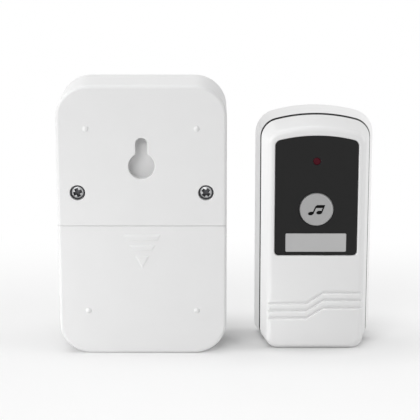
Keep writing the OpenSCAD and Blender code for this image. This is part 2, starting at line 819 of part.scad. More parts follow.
module chime_front_cover() color(white) at_chime() difference() {
    union() {
        difference() {
            translate([0, chime_d, 0]) mirror([0, 1, 0]) soft_box(cover_d, front_edge_r);
            slab(rear_d - over, cover_in_y) chime_outline(chime_wall);
        }
        difference() {
            union() {
                slab(rear_d, cover_in_y + chime_wall / 2) chime_outline(chime_wall / 2);
                slab(rear_d - lip_reach, rear_d + chime_wall) chime_outline(chime_wall + lip_gap);
            }
            slab(rear_d - lip_reach - over, cover_in_y) chime_outline(chime_wall + lip_gap + lip_t);
        }
        for (x = [-screw_x, screw_x])
            rod(x, screw_z, boss_hole_d / 2 + boss_wall, boss_meet + touch_gap, cover_in_y + over);
        for (p = clamp_places)
            rod(p[0], p[1], clamp_boss_r, rim_back_y, cover_in_y + over);
    }
    for (x = [-screw_x, screw_x])
        rod(x, screw_z, case_pilot_d / 2, boss_meet - over, well_depth + case_shank_l + over);
    for (p = clamp_places)
        rod(p[0], p[1], small_pilot_d / 2, rim_back_y - over, cover_in_y);
    translate([0, 0, speaker_z]) {
        grille_hole(0);
        for (ring = [1:grille_rings], k = [0:6 * ring - 1])
            rotate([0, 60 * k / ring, 0]) grille_hole(ring * grille_pitch);
    }
}

// Hole through the front cover at a distance from the speaker's axis
module grille_hole(x) rod(x, 0, grille_hole_d / 2, cover_in_y - over, chime_d + over);

module aa_cells() color("#3a3d42") at_chime() for (k = [0:cell_count - 1])
    translate([0, cell_y, cell_z(k)]) rotate([0, 90 * cell_side(k), 0]) {
        translate([0, 0, cell_end_x]) cylinder(d = cell_d, h = cell_l);
        translate([0, 0, cell_end_x + cell_l / 2]) cylinder(d = cell_nub_d, h = cell_l / 2 + cell_nub_l);
    }

// A plate behind cells k0 to k1 on one side of the bay, with a tail through the floor if it ends the row
module contact_plate(side, k0, k1, has_tail) {
    x = side > 0 ? plate_x : -plate_x - plate_t;
    low = cell_z(k0) - plate_w / 2;
    high = cell_z(k1) + plate_w / 2;
    block([x, cell_y - plate_w / 2, low], [x + plate_t, cell_y + plate_w / 2, high]);
    if (has_tail)
        block(
            [x, cell_y, cell_z(k0) - tail_w / 2],
            [x + plate_t, bay_end_y + tail_reach, cell_z(k0) + tail_w / 2]
        );
}

module contact_plates() color(steel) at_chime() {
    contact_plate(-1, 0, 0, true);
    contact_plate(1, 0, 1, false);
    contact_plate(-1, 1, 2, false);
    contact_plate(1, 2, 2, true);
}

module contact_springs() color(steel) at_chime() for (k = [0:cell_count - 1]) {
    wire_r = spring_wire_d / 2;
    room = plate_x + cell_end_x - 2 * (wire_r + touch_gap);
    path = coil_path(spring_d / 2, spring_tip_d / 2, room, spring_turns);
    translate([0, cell_y, cell_z(k)])
        mirror([k % 2, 0, 0])
            translate([wire_r + touch_gap - plate_x, 0, 0])
                tube(path, wire_r, [1, 0, 0], 6);
}

module chime_board() color(board_green) at_chime() difference() {
    block([-board_half, board_y, board_low_z], [board_half, board_face_y, board_high_z]);
    for (x = [-board_hole_x, board_hole_x], z = board_hole_zs)
        rod(x, z, small_hole_d / 2, board_y - over, board_face_y + over);
}

module board_screws() color(steel) at_chime() for (x = [-board_hole_x, board_hole_x], z = board_hole_zs)
    translate([x, board_face_y, z]) rotate([180, 0, 0])
        screw(board_head_d, small_head_h, small_shank_d, small_shank_l);

module sound_chip() color("#1c1d1f") at_chime() turned(board_half / 2, board_low_z + 2 * chip_r)
    polygon([
        [0, board_face_y], [chip_r, board_face_y],
        [chip_r / 2, board_face_y + chip_h], [0, board_face_y + chip_h]
    ]);

module radio_module() color("#27563a") at_chime() block(
    [module_in - board_half, board_y - module_t, keyhole_z],
    [module_in + module_w - board_half, board_y, keyhole_z + module_h]
);

module antenna_coil() color(copper) at_chime() {
    r = antenna_d / 2;
    wire_r = antenna_wire_d / 2;
    translate([board_half - 2 * antenna_d, board_y - r - wire_r - touch_gap, keyhole_z])
        rotate([0, -90, 0])
            tube(coil_path(r, r, antenna_l, antenna_turns, 8), wire_r, [1, 0, 0], 6);
}

module chime_capacitor() color("#2b3550") at_chime()
    rod(-can_x, can_z, can_r, board_face_y, board_face_y + can_h);

module speaker_basket() color(steel) at_chime() {
    turned(0, speaker_z) polygon([
        [0, magnet_face_y], [basket_back_r, magnet_face_y], [basket_r, rim_back_y], [speaker_r, rim_back_y],
        [speaker_r, rim_face_y], [basket_r - basket_t, rim_face_y], [basket_r - basket_t, rim_back_y],
        [basket_back_r - basket_t, magnet_face_y + basket_t], [0, magnet_face_y + basket_t]
    ]);
    block(
        [-tag_w / 2, tag_back_y, tag_low_z],
        [tag_w / 2, tag_back_y + tag_t, speaker_z - (basket_r + basket_back_r) / 2 + basket_t]
    );
}

module speaker_magnet() color("#45474a") at_chime()
    rod(0, speaker_z, magnet_d / 2, magnet_face_y - magnet_t, magnet_face_y);

module speaker_cone() color("#2a2a2b") at_chime() turned(0, speaker_z) polygon([
    [0, cone_back_y + dust_cap_r / 2], [dust_cap_r, cone_back_y], [cone_r, rim_face_y - cone_t],
    [cone_r, rim_face_y], [cone_r - cone_t, rim_face_y], [dust_cap_r, cone_back_y + cone_t],
    [0, cone_back_y + dust_cap_r / 2 + cone_t]
]);

module speaker_gasket() color("#303132") at_chime() difference() {
    rod(0, speaker_z, speaker_r, rim_face_y, cover_in_y);
    rod(0, speaker_z, basket_r, rim_face_y - over, cover_in_y + over);
}

module speaker_screws() color(steel) at_chime() for (p = clamp_places)
    translate([p[0], rim_back_y, p[1]])
        screw(clamp_head_d, small_head_h, small_shank_d, cover_in_y - rim_back_y - touch_gap);

module speaker_leads() color("#b32c2c") at_chime() for (x = [-tag_w / 4, tag_w / 4])
    tube([
        [x, lead_board_y, lead_board_z],
        [x, lead_board_y + 2.4, lead_board_z],
        [x, magnet_face_y, lead_board_z + 1.5],
        [x, tag_back_y - 1.4, tag_low_z + 1.4],
        [x, tag_back_y - touch_gap, tag_low_z + 1.6]
    ], lead_r, [1, 0, 0]);

module battery_leads() color("#222222") at_chime() for (side = [-1, 1]) {
    start_z = side > 0 ? cell_z(cell_count - 1) : cell_z(0);
    tube([
        [side * lead_x, lead_y, start_z - 1],
        [side * lead_x, lead_y, start_z + 4],
        [side * lead_x, lead_y, roof_z - 3],
        [side * (lead_x - 7), lead_y, roof_z + 2.4],
        [side * 13, lead_board_y + 3, lead_board_z],
        [side * 11, lead_board_y + 1.8, lead_board_z],
        [side * 10.4, lead_board_y, lead_board_z]
    ], lead_r, [1, side, 0]);
}

// Cap of the tune button in the YZ plane, grown by a distance
module tune_drawing(grow) {
    r = tune_w / 2;
    stadium(tune_y, tune_z - tune_h / 2 + r, tune_z + tune_h / 2 - r, r + grow);
}

module tune_button() color("#d4d5d5") at_chime() {
    inner_x = chime_wall + button_gap - half_w;
    side_slab(-half_w - tune_proud, inner_x + button_rim) tune_drawing(0);
    side_slab(inner_x, inner_x + button_rim) tune_drawing(button_rim);
    translate([inner_x, tune_y, tune_z]) rotate([0, 90, 0])
        cylinder(d = pin_d, h = -board_half - tune_pin_out - touch_gap - inner_x);
}

module tune_switch() color("#4a4c4f") at_chime() difference() {
    block(
        [-board_half, board_face_y, tune_z - switch_w / 2],
        [tune_body_l - board_half, board_face_y + switch_h, tune_z + switch_w / 2]
    );
    translate([-board_half - over, tune_y, tune_z]) rotate([0, 90, 0])
        cylinder(d = pin_d + 2 * button_gap, h = over + tune_body_l - switch_floor);
}

module tune_plunger() color("#1f2022") at_chime()
    translate([-board_half - tune_pin_out, tune_y, tune_z]) rotate([0, 90, 0])
        cylinder(d = pin_d, h = tune_pin_out + tune_body_l - switch_floor - press_travel - button_gap);

// Bell push

module push_housing() color(white) at_push() difference() {
    union() {
        difference() {
            loft(housing_levels());
            loft(inside_levels(front_t, housing_d + over, 0));
        }
        for (p = push_posts)
            rod(p[0], p[1], post_d / 2, front_t / 2, push_board_y);
    }
    slab(-over, panel_back_y) polygon(panel_outline(panel_gap));
    rod(0, button_z, button_hole_r, 0, front_t + over);
    rod(0, led_z, led_d / 2 + touch_gap, 0, front_t + over);
    for (p = push_posts)
        rod(p[0], p[1], small_pilot_d / 2, push_pilot_y, push_board_y + over);
    for (k = [0:groove_count - 1])
        zigzag(groove_z + k * groove_pitch);
}

// Groove that runs level, climbs across the middle and runs level again
module zigzag(z) {
    reach = push_w / 2;
    bend = groove_run / 2;
    line = [[-reach, z], [-bend, z], [bend, z + groove_step], [reach, z + groove_step]];
    slab(-over, groove_d) polygon(concat(
        line, [for (k = [3:-1:0]) line[k] + [0, groove_w]]
    ));
}

module fascia() color("#2c2d30") at_push() difference() {
    slab(panel_sink, panel_back_y) polygon(panel_outline(0));
    rod(0, button_z, button_hole_r, -over, front_t);
    rod(0, led_z, led_d / 2 + touch_gap, -over, front_t);
    block(
        [-name_half - panel_gap, -over, name_low - panel_gap],
        [name_half + panel_gap, panel_sink + name_sink, name_low + name_h + panel_gap]
    );
}

module bell_button() color("#a6a7a9") at_push() {
    face_y = panel_sink - button_proud;
    turned(0, button_z) {
        translate([0, face_y]) edge_section(button_r, flange_y + flange_t - face_y, button_edge_r);
        translate([0, flange_y]) square([button_r + button_rim, flange_t]);
        translate([0, flange_y]) square([pin_d / 2 + button_rim / 2, stem_end_y - flange_y]);
    }
}

module push_led() color("#7c1322") at_push() turned(0, led_z) {
    translate([0, panel_sink]) edge_section(led_d / 2, front_t + button_gap, led_d / 4);
    translate([0, flange_y]) square([led_d / 2 + button_gap, push_board_y - flange_y]);
}

module name_plate() color("#b4b6b8") at_push() block(
    [-name_half, panel_sink + name_sink - name_t, name_low],
    [name_half, panel_sink + name_sink, name_low + name_h]
);

module weather_seal() color("#1b1b1c") at_push() difference() {
    loft(seal_levels(housing_d, base_y, seal_in));
    loft(seal_levels(housing_d - over, base_y + over, seal_in + seal_w));
}

module push_base() color(white) at_push() difference() {
    union() {
        loft([
            [push_d, push_outline(wall_edge, wall_edge, 0)],
            [push_d - wall_edge, push_outline(draw_in(push_d - wall_edge), 0, 0)],
            [base_y, push_outline(draw_in(base_y), 0, 0)]
        ]);
        loft(inside_levels(housing_d - spigot_reach, base_in_y, spigot_gap));
    }
    loft(inside_levels(housing_d - spigot_reach - over, base_in_y, spigot_gap + spigot_wall));
    for (z = [wall_hole_z, wall_hole_z + wall_hole_pitch]) {
        rod(0, z, wall_hole_d / 2, base_in_y - over, push_d + over);
        turned(0, z) polygon([
            [0, base_in_y - over], [wall_sink_d / 2, base_in_y - over], [wall_sink_d / 2, base_in_y],
            [wall_hole_d / 2, base_in_y + base_t / 2], [0, base_in_y + base_t / 2]
        ]);
    }
}

module push_board() color(board_green) at_push() difference() {
    block(
        [-push_board_half, push_board_y, push_board_low],
        [push_board_half, push_board_back, push_board_high]
    );
    for (p = push_posts)
        rod(p[0], p[1], small_hole_d / 2, push_board_y - over, push_board_back + over);
}

module push_board_screws() color(steel) at_push() for (p = push_posts)
    translate([p[0], push_board_back, p[1]]) rotate([180, 0, 0])
        screw(board_head_d, small_head_h, small_shank_d, small_shank_l);

module bell_switch() color("#4a4c4f") at_push() difference() {
    half = switch_w / 2;
    block([-half, switch_face_y, button_z - half], [half, push_board_y, button_z + half]);
    rod(0, button_z, pin_d / 2 + button_gap, switch_face_y - over, push_board_y - switch_floor);
}

module bell_plunger() color("#1f2022") at_push()
    rod(0, button_z, pin_d / 2, stem_end_y + touch_gap, push_pin_end);

module push_battery() color("#3a3d42") at_push() translate([0, push_cell_y, push_cell_z]) {
    cylinder(d = push_cell_d, h = push_cell_l);
    cylinder(d = push_cell_nub_d, h = push_cell_l + push_cell_nub_l);
}

// Clip of the cell: an upright from z0 upwards, with its foot on the board to one side
module push_clip(z0, foot_side) {
    foot_z = foot_side > 0 ? z0 : z0 + clip_t - clip_foot;
    block([-clip_half, push_board_back, z0], [clip_half, push_board_back + clip_reach, z0 + clip_t]);
    block([-clip_half, push_board_back, foot_z], [clip_half, push_board_back + clip_t, foot_z + clip_foot]);
}

module push_contacts() color(steel) at_push() {
    push_clip(clip_low_z - clip_t, -1);
    push_clip(clip_high_z, 1);
}

module push_contact_spring() color(steel) at_push() {
    wire_r = spring_wire_d / 2;
    room = push_spring_l - 2 * wire_r - touch_gap;
    translate([0, push_cell_y, clip_low_z + wire_r + touch_gap]) rotate([0, -90, 0])
        tube(coil_path(spring_d / 2, spring_tip_d / 2, room, spring_turns), wire_r, [1, 0, 0], 6);
}

module resonator() color(steel) at_push()
    rod(-push_board_half / 2, parts_z, can_d / 2, push_board_back, push_board_back + resonator_h);

module encoder_chip() color("#1c1d1f") at_push()
    translate([push_board_half / 2 - encoder_size[0] / 2, push_board_back, parts_z]) cube(encoder_size);

chime_rear_housing();
battery_door();
case_screws();
chime_front_cover();
aa_cells();
contact_plates();
contact_springs();
chime_board();
board_screws();
sound_chip();
radio_module();
antenna_coil();
chime_capacitor();
speaker_basket();
speaker_magnet();
speaker_cone();
speaker_gasket();
speaker_screws();
speaker_leads();
battery_leads();
tune_button();
tune_switch();
tune_plunger();
push_housing();
fascia();
bell_button();
push_led();
name_plate();
weather_seal();
push_base();
push_board();
push_board_screws();
bell_switch();
bell_plunger();
push_battery();
push_contacts();
push_contact_spring();
resonator();
encoder_chip();
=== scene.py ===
"""Looks of a wireless doorbell set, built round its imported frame.

The battery chime stands on the left with its back to the camera, and the bell
push stands on the right with its front to it. Sizes are in millimetres from
each unit's own place: x from its middle, y from the face that the camera sees
towards the far side, and z from the floor.
"""

import logging
import math
from collections.abc import Callable, Sequence
from dataclasses import dataclass
from enum import Enum

import bmesh
import bpy
from mathutils import Matrix, Vector

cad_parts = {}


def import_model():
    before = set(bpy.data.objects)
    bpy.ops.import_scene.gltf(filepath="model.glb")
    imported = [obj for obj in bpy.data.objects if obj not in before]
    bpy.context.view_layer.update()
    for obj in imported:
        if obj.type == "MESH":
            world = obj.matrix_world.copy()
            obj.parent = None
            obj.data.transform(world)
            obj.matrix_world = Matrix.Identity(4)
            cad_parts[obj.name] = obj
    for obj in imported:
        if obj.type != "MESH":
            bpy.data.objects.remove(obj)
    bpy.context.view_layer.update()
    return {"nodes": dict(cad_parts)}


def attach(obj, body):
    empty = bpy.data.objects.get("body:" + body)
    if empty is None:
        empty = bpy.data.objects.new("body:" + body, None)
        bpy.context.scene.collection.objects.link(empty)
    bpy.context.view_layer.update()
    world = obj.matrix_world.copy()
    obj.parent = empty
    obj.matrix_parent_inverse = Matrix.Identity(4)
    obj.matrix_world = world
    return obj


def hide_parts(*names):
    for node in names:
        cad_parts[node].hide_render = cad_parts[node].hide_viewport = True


LOG = logging.getLogger("doorbell")
MM = 0.001
# How far the helpers of cuts stand out of a piece, and how far they reach past a unit's sides
OUT = 1.0
PAST = 40.0
# Points nearer than this become one, and edges shorter than this go
WELD = 0.001
SLIVER = 0.0005
# Edges that turn more than this stay sharp
SHARP = math.radians(35)

Flat = tuple[float, float]
Outline = list[Flat]
Level = tuple[float, Outline]
Triple = tuple[float, float, float]
Point = Triple
Ring = list[bmesh.types.BMVert]
Thing = bpy.types.Object
Tree = bpy.types.NodeTree
Socket = bpy.types.NodeSocket


class Along(Enum):
    """The axis that a loft or a turned form runs along."""

    X = "x"
    Y = "y"
    Z = "z"

    def put(self, u: float, v: float, depth: float) -> Point:
        """Places a point of a drawing at a depth along the axis."""
        return {"x": (depth, u, v), "y": (u, depth, v), "z": (u, v, depth)}[self.value]


class Change(Enum):
    """How a helper solid changes a piece."""

    CUT = "DIFFERENCE"
    ADD = "UNION"


def arc(x: float, z: float, r: float, start: float, end: float, steps: int) -> Outline:
    """Draws an arc.

    Args:
        x: Centre across.
        z: Centre up.
        r: Radius.
        start: First angle in degrees.
        end: Last angle in degrees.
        steps: Number of equal steps between them.

    Returns:
        The points, both ends included.
    """
    angles = [math.radians(start + (end - start) * k / steps) for k in range(steps + 1)]
    return [(x + r * math.cos(a), z + r * math.sin(a)) for a in angles]


def circle(x: float, z: float, r: float, steps: int = 40) -> Outline:
    """Draws a full circle without a double point."""
    return arc(x, z, r, 0, 360, steps)[:-1]


def rectangle(x0: float, x1: float, z0: float, z1: float) -> Outline:
    """Draws a plain rectangle."""
    return [(x0, z0), (x1, z0), (x1, z1), (x0, z1)]


def rounded(half: float, low: float, high: float, r: float, steps: int = 14, level: bool = False) -> Outline:
    """Draws a rectangle with round corners.

    Args:
        half: Half of its width, about x = 0.
        low: Lower edge.
        high: Upper edge.
        r: Radius of the corners.
        steps: Steps in each corner.
        level: Whether its upper corners are square instead.

    Returns:
        The outline, from the lower right corner round to the left.
    """
    x = half - r
    top = [(half, high), (-half, high)]
    if not level:
        top = arc(x, high - r, r, 0, 90, steps) + arc(-x, high - r, r, 90, 180, steps)
    return arc(x, low + r, r, -90, 0, steps) + top + arc(-x, low + r, r, 180, 270, steps)


def stadium(x: float, low: float, high: float, r: float, steps: int = 16) -> Outline:
    """Draws an upright slot whose round ends are centred at low and high."""
    return arc(x, low, r, 180, 360, steps) + arc(x, high, r, 0, 180, steps)


def turned(points: Outline, x: float, z: float, angle: float) -> Outline:
    """Turns a drawing by an angle in degrees and moves its middle to x and z."""
    c, s = math.cos(math.radians(angle)), math.sin(math.radians(angle))
    return [(x + p * c - q * s, z + p * s + q * c) for p, q in points]


def drawn_in(points: Outline, step: float) -> Outline:
    """Moves the edges of a convex outline inwards.

    Args:
        points: Corners, anticlockwise.
        step: Distance that each edge moves.

    Returns:
        The corners of the smaller outline.
    """
    found = []
    for k, corner in enumerate(points):
        before = Vector(corner) - Vector(points[k - 1])
        after = Vector(points[(k + 1) % len(points)]) - Vector(corner)
        n0 = Vector((-before.y, before.x)).normalized()
        n1 = Vector((-after.y, after.x)).normalized()
        bisector = (n0 + n1) / (1 + n0.dot(n1))
        found.append(tuple(Vector(corner) + step * bisector))
    return found


def round_edge(r: float, steps: int = 6) -> Outline:
    """Lists pairs of drop and inset down a quarter round, from the face to the side."""
    turns = [math.pi / 2 * k / steps for k in range(steps + 1)]
    return [(r * (1 - math.cos(a)), r * (1 - math.sin(a))) for a in turns]


class Sculpt:
    """One mesh in the making: rings of points, bands between them and flat caps."""

    def __init__(self) -> None:
        """Starts with no points."""
        self.bm = bmesh.new()

    def ring(self, points: list[Point]) -> Ring:
        """Adds a closed loop of points with its edges.

        Args:
            points: Places of the points, in order.

        Returns:
            The loop.
        """
        made = [self.bm.verts.new(p) for p in points]
        for k, vert in enumerate(made):
            self.bm.edges.new((made[k - 1], vert))
        return made

    def bands(self, loops: list[Ring], numbers: Sequence[int] = ()) -> None:
        """Closes the strips between neighbouring loops, some of which may be single points.

        Args:
            loops: The loops in order.
            numbers: Material number of each strip, if they aren't all 0.
        """
        for row, (a, b) in enumerate(zip(loops, loops[1:])):
            for k in range(max(len(a), len(b))):
                corners = (a[(k - 1) % len(a)], a[k % len(a)], b[k % len(b)], b[(k - 1) % len(b)])
                face = self.bm.faces.new(list(dict.fromkeys(corners)))
                face.material_index = numbers[row] if numbers else 0

    def cap(self, outer: Ring, holes: Sequence[Ring] = ()) -> None:
        """Closes a loop with a flat face.

        Args:
            outer: The loop.
            holes: Loops that stay open in the face.
        """
        if not holes:
            self.bm.faces.new(outer)
            return
        loops = [outer, *holes]
        edges = [self.bm.edges.get((loop[k - 1], loop[k])) for loop in loops for k in range(len(loop))]
        bmesh.ops.triangle_fill(self.bm, use_beauty=True, edges=edges)

    def rows(self, axis: Along, levels: Sequence[Level]) -> list[Ring]:
        """Adds one ring for each level and the bands between them.

        Args:
            axis: Axis that the depths run along.
            levels: Pairs of depth and outline, all with as many points.

        Returns:
            The rings in the order of the levels.
        """
        rings = [self.ring([axis.put(u, v, depth) for u, v in outline]) for depth, outline in levels]
        self.bands(rings)
        return rings

    def loft(
        self,
        axis: Along,
        levels: Sequence[Level],
        holes: Sequence[Sequence[Level]] = (),
        bed: Sequence[Level] = (),
    ) -> "Sculpt":
        """Adds a closed solid through outlines, with a cap at each end.

        Args:
            axis: Axis that the depths run along.
            levels: Pairs of depth and outline of the solid.
            holes: The same of each hole, from the first end through to the last.
            bed: The same of a recess in the first end, if there is one.

        Returns:
            The sculpt itself.
        """
        rings = self.rows(axis, levels)
        pierced = [self.rows(axis, hole) for hole in holes]
        firsts = [hole[0] for hole in pierced]
        if bed:
            sides = self.rows(axis, bed)
            self.cap(sides[-1])
            firsts.append(sides[0])
        self.cap(rings[0], firsts)
        self.cap(rings[-1], [hole[-1] for hole in pierced])
        return self

    def turn(
        self,
        axis: Along,
        u: float,
        v: float,
        profile: Sequence[Flat],
        steps: int = 48,
        numbers: Sequence[int] = (),
    ) -> "Sculpt":
        """Adds a solid of revolution.

        Args:
            axis: Axis of the turning.
            u: First coordinate of the axis.
            v: Second coordinate of the axis.
            profile: Pairs of radius and depth, closed by a radius of zero at each end.
            steps: Number of steps round.
            numbers: Material number of each band of the profile, if they aren't all 0.

        Returns:
            The sculpt itself.
        """
        loops = []
        for r, depth in profile:
            if r == 0:
                loops.append([self.bm.verts.new(axis.put(u, v, depth))])
            else:
                loops.append(self.ring([axis.put(p, q, depth) for p, q in circle(u, v, r, steps)]))
        self.bands(loops, numbers)
        return self

    def coil(
        self,
        axis: Along,
        start: Point,
        length: float,
        radii: Flat = (4.0, 2.5),
        wire: float = 0.4,
        turns: int = 3,
    ) -> "Sculpt":
        """Adds a wire wound into a tapered contact spring.

        Args:
            axis: Axis that the coil runs along.
            start: Middle of its first turn.
            length: Length along the axis, which may be negative.
            radii: Radius at its start and at its end, to the wire's middle.
            wire: Radius of the wire.
            turns: Number of turns.

        Returns:
            The sculpt itself.
        """
        count = turns * 20
        along = Vector(axis.put(0, 0, 1))
        loops = []
        for k in range(count + 1):
            share = k / count
            a = 2 * math.pi * turns * share
            r = radii[0] + (radii[1] - radii[0]) * share
            out = Vector(axis.put(math.cos(a), math.sin(a), 0))
            middle = Vector(start) + r * out + share * length * along
            round_wire = [tuple(middle + wire * (p * out + q * along)) for p, q in circle(0, 0, 1, 10)]
            loops.append(self.ring(round_wire))
        self.bands(loops)
        self.cap(loops[0])
        self.cap(loops[-1])
        return self

    def thing(self, name: str) -> Thing:
        """Turns the sculpt into an object, with its faces outwards.

        Args:
            name: Name of the object.

        Returns:
            The object, linked to the scene.
        """
        bmesh.ops.recalc_face_normals(self.bm, faces=self.bm.faces[:])
        mesh = bpy.data.meshes.new(name)
        self.bm.to_mesh(mesh)
        self.bm.free()
        made = bpy.data.objects.new(name, mesh)
        bpy.context.scene.collection.objects.link(made)
        return made


def prism(outline: Outline, near: float, far: float) -> Sculpt:
    """Makes a straight helper solid of an outline between two depths."""
    return Sculpt().loft(Along.Y, [(near, outline), (far, outline)])


def block(x: Flat, y: Flat, z: Flat) -> Sculpt:
    """Makes a plain helper box between pairs of coordinates, those across in any order."""
    return prism(rectangle(*sorted(x), *z), *y)


def mouth(draw: Callable[[float], Outline], edge: float, floor: float) -> Sculpt:
    """Makes the helper that sinks a form into a face, with a softened edge.

    Args:
        draw: Draws the form, grown by a distance.
        edge: Radius of the softened edge.
        floor: Depth that the form is sunk to.

    Returns:
        The helper.
    """
    rim = [(y, draw(grow)) for y, grow in round_edge(edge, 5)]
    return Sculpt().loft(Along.Y, [(-OUT, draw(edge)), *rim, (floor, draw(0))])


def change(piece: Thing, how: Change, *helpers: Sculpt) -> None:
    """Cuts helper solids out of a piece, or adds them on, and removes them.

    Args:
        piece: The piece that changes.
        how: Cut or add.
        *helpers: The other solids, in the order of their work.
    """
    for helper in helpers:
        other = helper.thing("helper")
        modifier = piece.modifiers.new("change", "BOOLEAN")
        modifier.operation = how.value
        modifier.solver = "EXACT"
        modifier.object = other
        shown = piece.evaluated_get(bpy.context.evaluated_depsgraph_get())
        old, piece.data = piece.data, bpy.data.meshes.new_from_object(shown)
        piece.modifiers.clear()
        bpy.data.meshes.remove(old)
        bpy.data.objects.remove(other)


def linear(colour: str) -> tuple[float, float, float, float]:
    """Turns an sRGB hex colour into linear light."""
    parts = [int(colour[k : k + 2], 16) / 255 for k in (1, 3, 5)]
    return (*[c / 12.92 if c <= 0.04045 else ((c + 0.055) / 1.055) ** 2.4 for c in parts], 1.0)


def blank_tree(owner: bpy.types.Material | bpy.types.World) -> Tree:
    """Gives a material or the surroundings an empty node tree.

    Args:
        owner: What the nodes are for.

    Returns:
        The node tree.
    """
    owner.use_nodes = True
    owner.node_tree.nodes.clear()
    return owner.node_tree


def add_node(tree: Tree, kind: str, feeds: dict | None = None, **settings: object) -> bpy.types.Node:
    """Adds a node, sets it up and links what feeds it.

    Args:
        tree: The node tree.
        kind: Name of the node's class.
        feeds: Socket name or number to a value or to another node's output.
        **settings: Attributes of the node.

    Returns:
        The new node.
    """
    made = tree.nodes.new(kind)
    for name, value in settings.items():
        setattr(made, name, value)
    for socket, value in (feeds or {}).items():
        if isinstance(value, Socket):
            tree.links.new(value, made.inputs[socket])
        else:
            made.inputs[socket].default_value = value
    return made


@dataclass(frozen=True)
class Finish:
    """A real material with faint patches in its colour and gloss, and a fine grain."""

    name: str
    colour: str
    roughness: float
    metallic: float = 0.0
    ior: float = 1.5
    specular: float = 0.5
    patch_mm: float = 14.0
    patch_shade: float = 0.035
    gloss_spread: float = 0.06
    grain_mm: float = 0.5
    grain_depth_mm: float = 0.006
    stretch: Triple = (1.0, 1.0, 1.0)

    def build(self) -> bpy.types.Material:
        """Makes the Blender material.

        Returns:
            The material, with its colour, gloss and grain varied by noise of real sizes.
        """
        made = bpy.data.materials.new(self.name)
        tree = blank_tree(made)
        place = add_node(tree, "ShaderNodeTexCoord").outputs["Object"]
        feeds = {"Vector": place, "Scale": self.stretch}
        stretched = add_node(tree, "ShaderNodeMapping", feeds).outputs["Vector"]
        feeds = {"Vector": place, "Scale": 1 / (self.patch_mm * MM), "Detail": 3.0}
        patches = add_node(tree, "ShaderNodeTexNoise", feeds).outputs["Fac"]
        feeds = {"Vector": stretched, "Scale": 1 / (self.grain_mm * MM), "Detail": 2.0}
        grain = add_node(tree, "ShaderNodeTexNoise", feeds).outputs["Fac"]
        low, high = self.roughness - self.gloss_spread, self.roughness + self.gloss_spread
        feeds = {"Value": grain, "To Min": low, "To Max": high}
        gloss = add_node(tree, "ShaderNodeMapRange", feeds).outputs["Result"]
        feeds = {"Height": grain, "Distance": self.grain_depth_mm * MM}
        bump = add_node(tree, "ShaderNodeBump", feeds).outputs["Normal"]
        feeds = {
            "Base Color": self.tint(tree, place, patches),
            "Roughness": gloss,
            "Metallic": self.metallic,
            "IOR": self.ior,
            "Specular IOR Level": self.specular,
            "Normal": bump,
        }
        shader = add_node(tree, "ShaderNodeBsdfPrincipled", feeds)
        add_node(tree, "ShaderNodeOutputMaterial", {"Surface": shader.outputs["BSDF"]})
        return made

    def tint(self, tree: Tree, place: Socket, patches: Socket) -> Socket:
        """Mixes the colour with its own darker patches.

        Args:
            tree: The node tree.
            place: Coordinates on the piece; not used here.
            patches: Noise of the patches' size.

        Returns:
            The colour's output.
        """
        full = linear(self.colour)
        dark = (*[c * (1 - self.patch_shade) for c in full[:3]], 1.0)
        return add_node(tree, "ShaderNodeMix", {0: patches, 6: dark, 7: full}, data_type="RGBA").outputs[2]


@dataclass(frozen=True)
class BoardFinish(Finish):
    """Solder mask over copper: the tracks under the mask show a shade lighter."""

    track_colour: str = "#3d8a57"
    track_mm: float = 2.4
    track_fold: float = 0.16
    track_edge: float = 0.11

    def tint(self, tree: Tree, place: Socket, patches: Socket) -> Socket:
        """Lays square-cornered tracks of real width over the plain mask.

        Args:
            tree: The node tree.
            place: Coordinates on the piece.
            patches: Noise of the patches' size.

        Returns:
            The colour's output.
        """
        plain = Finish.tint(self, tree, place, patches)
        feeds = {"Vector": place, "Scale": 1 / (self.track_mm * 2 * MM)}
        cells = add_node(tree, "ShaderNodeTexVoronoi", feeds, distance="MANHATTAN", feature="F1")
        feeds = {0: cells.outputs["Distance"], 1: self.track_fold}
        lines = add_node(tree, "ShaderNodeMath", feeds, operation="PINGPONG").outputs["Value"]
        feeds = {0: lines, 1: self.track_edge}
        tracks = add_node(tree, "ShaderNodeMath", feeds, operation="GREATER_THAN").outputs["Value"]
        feeds = {0: tracks, 6: plain, 7: linear(self.track_colour)}
        return add_node(tree, "ShaderNodeMix", feeds, data_type="RGBA").outputs[2]


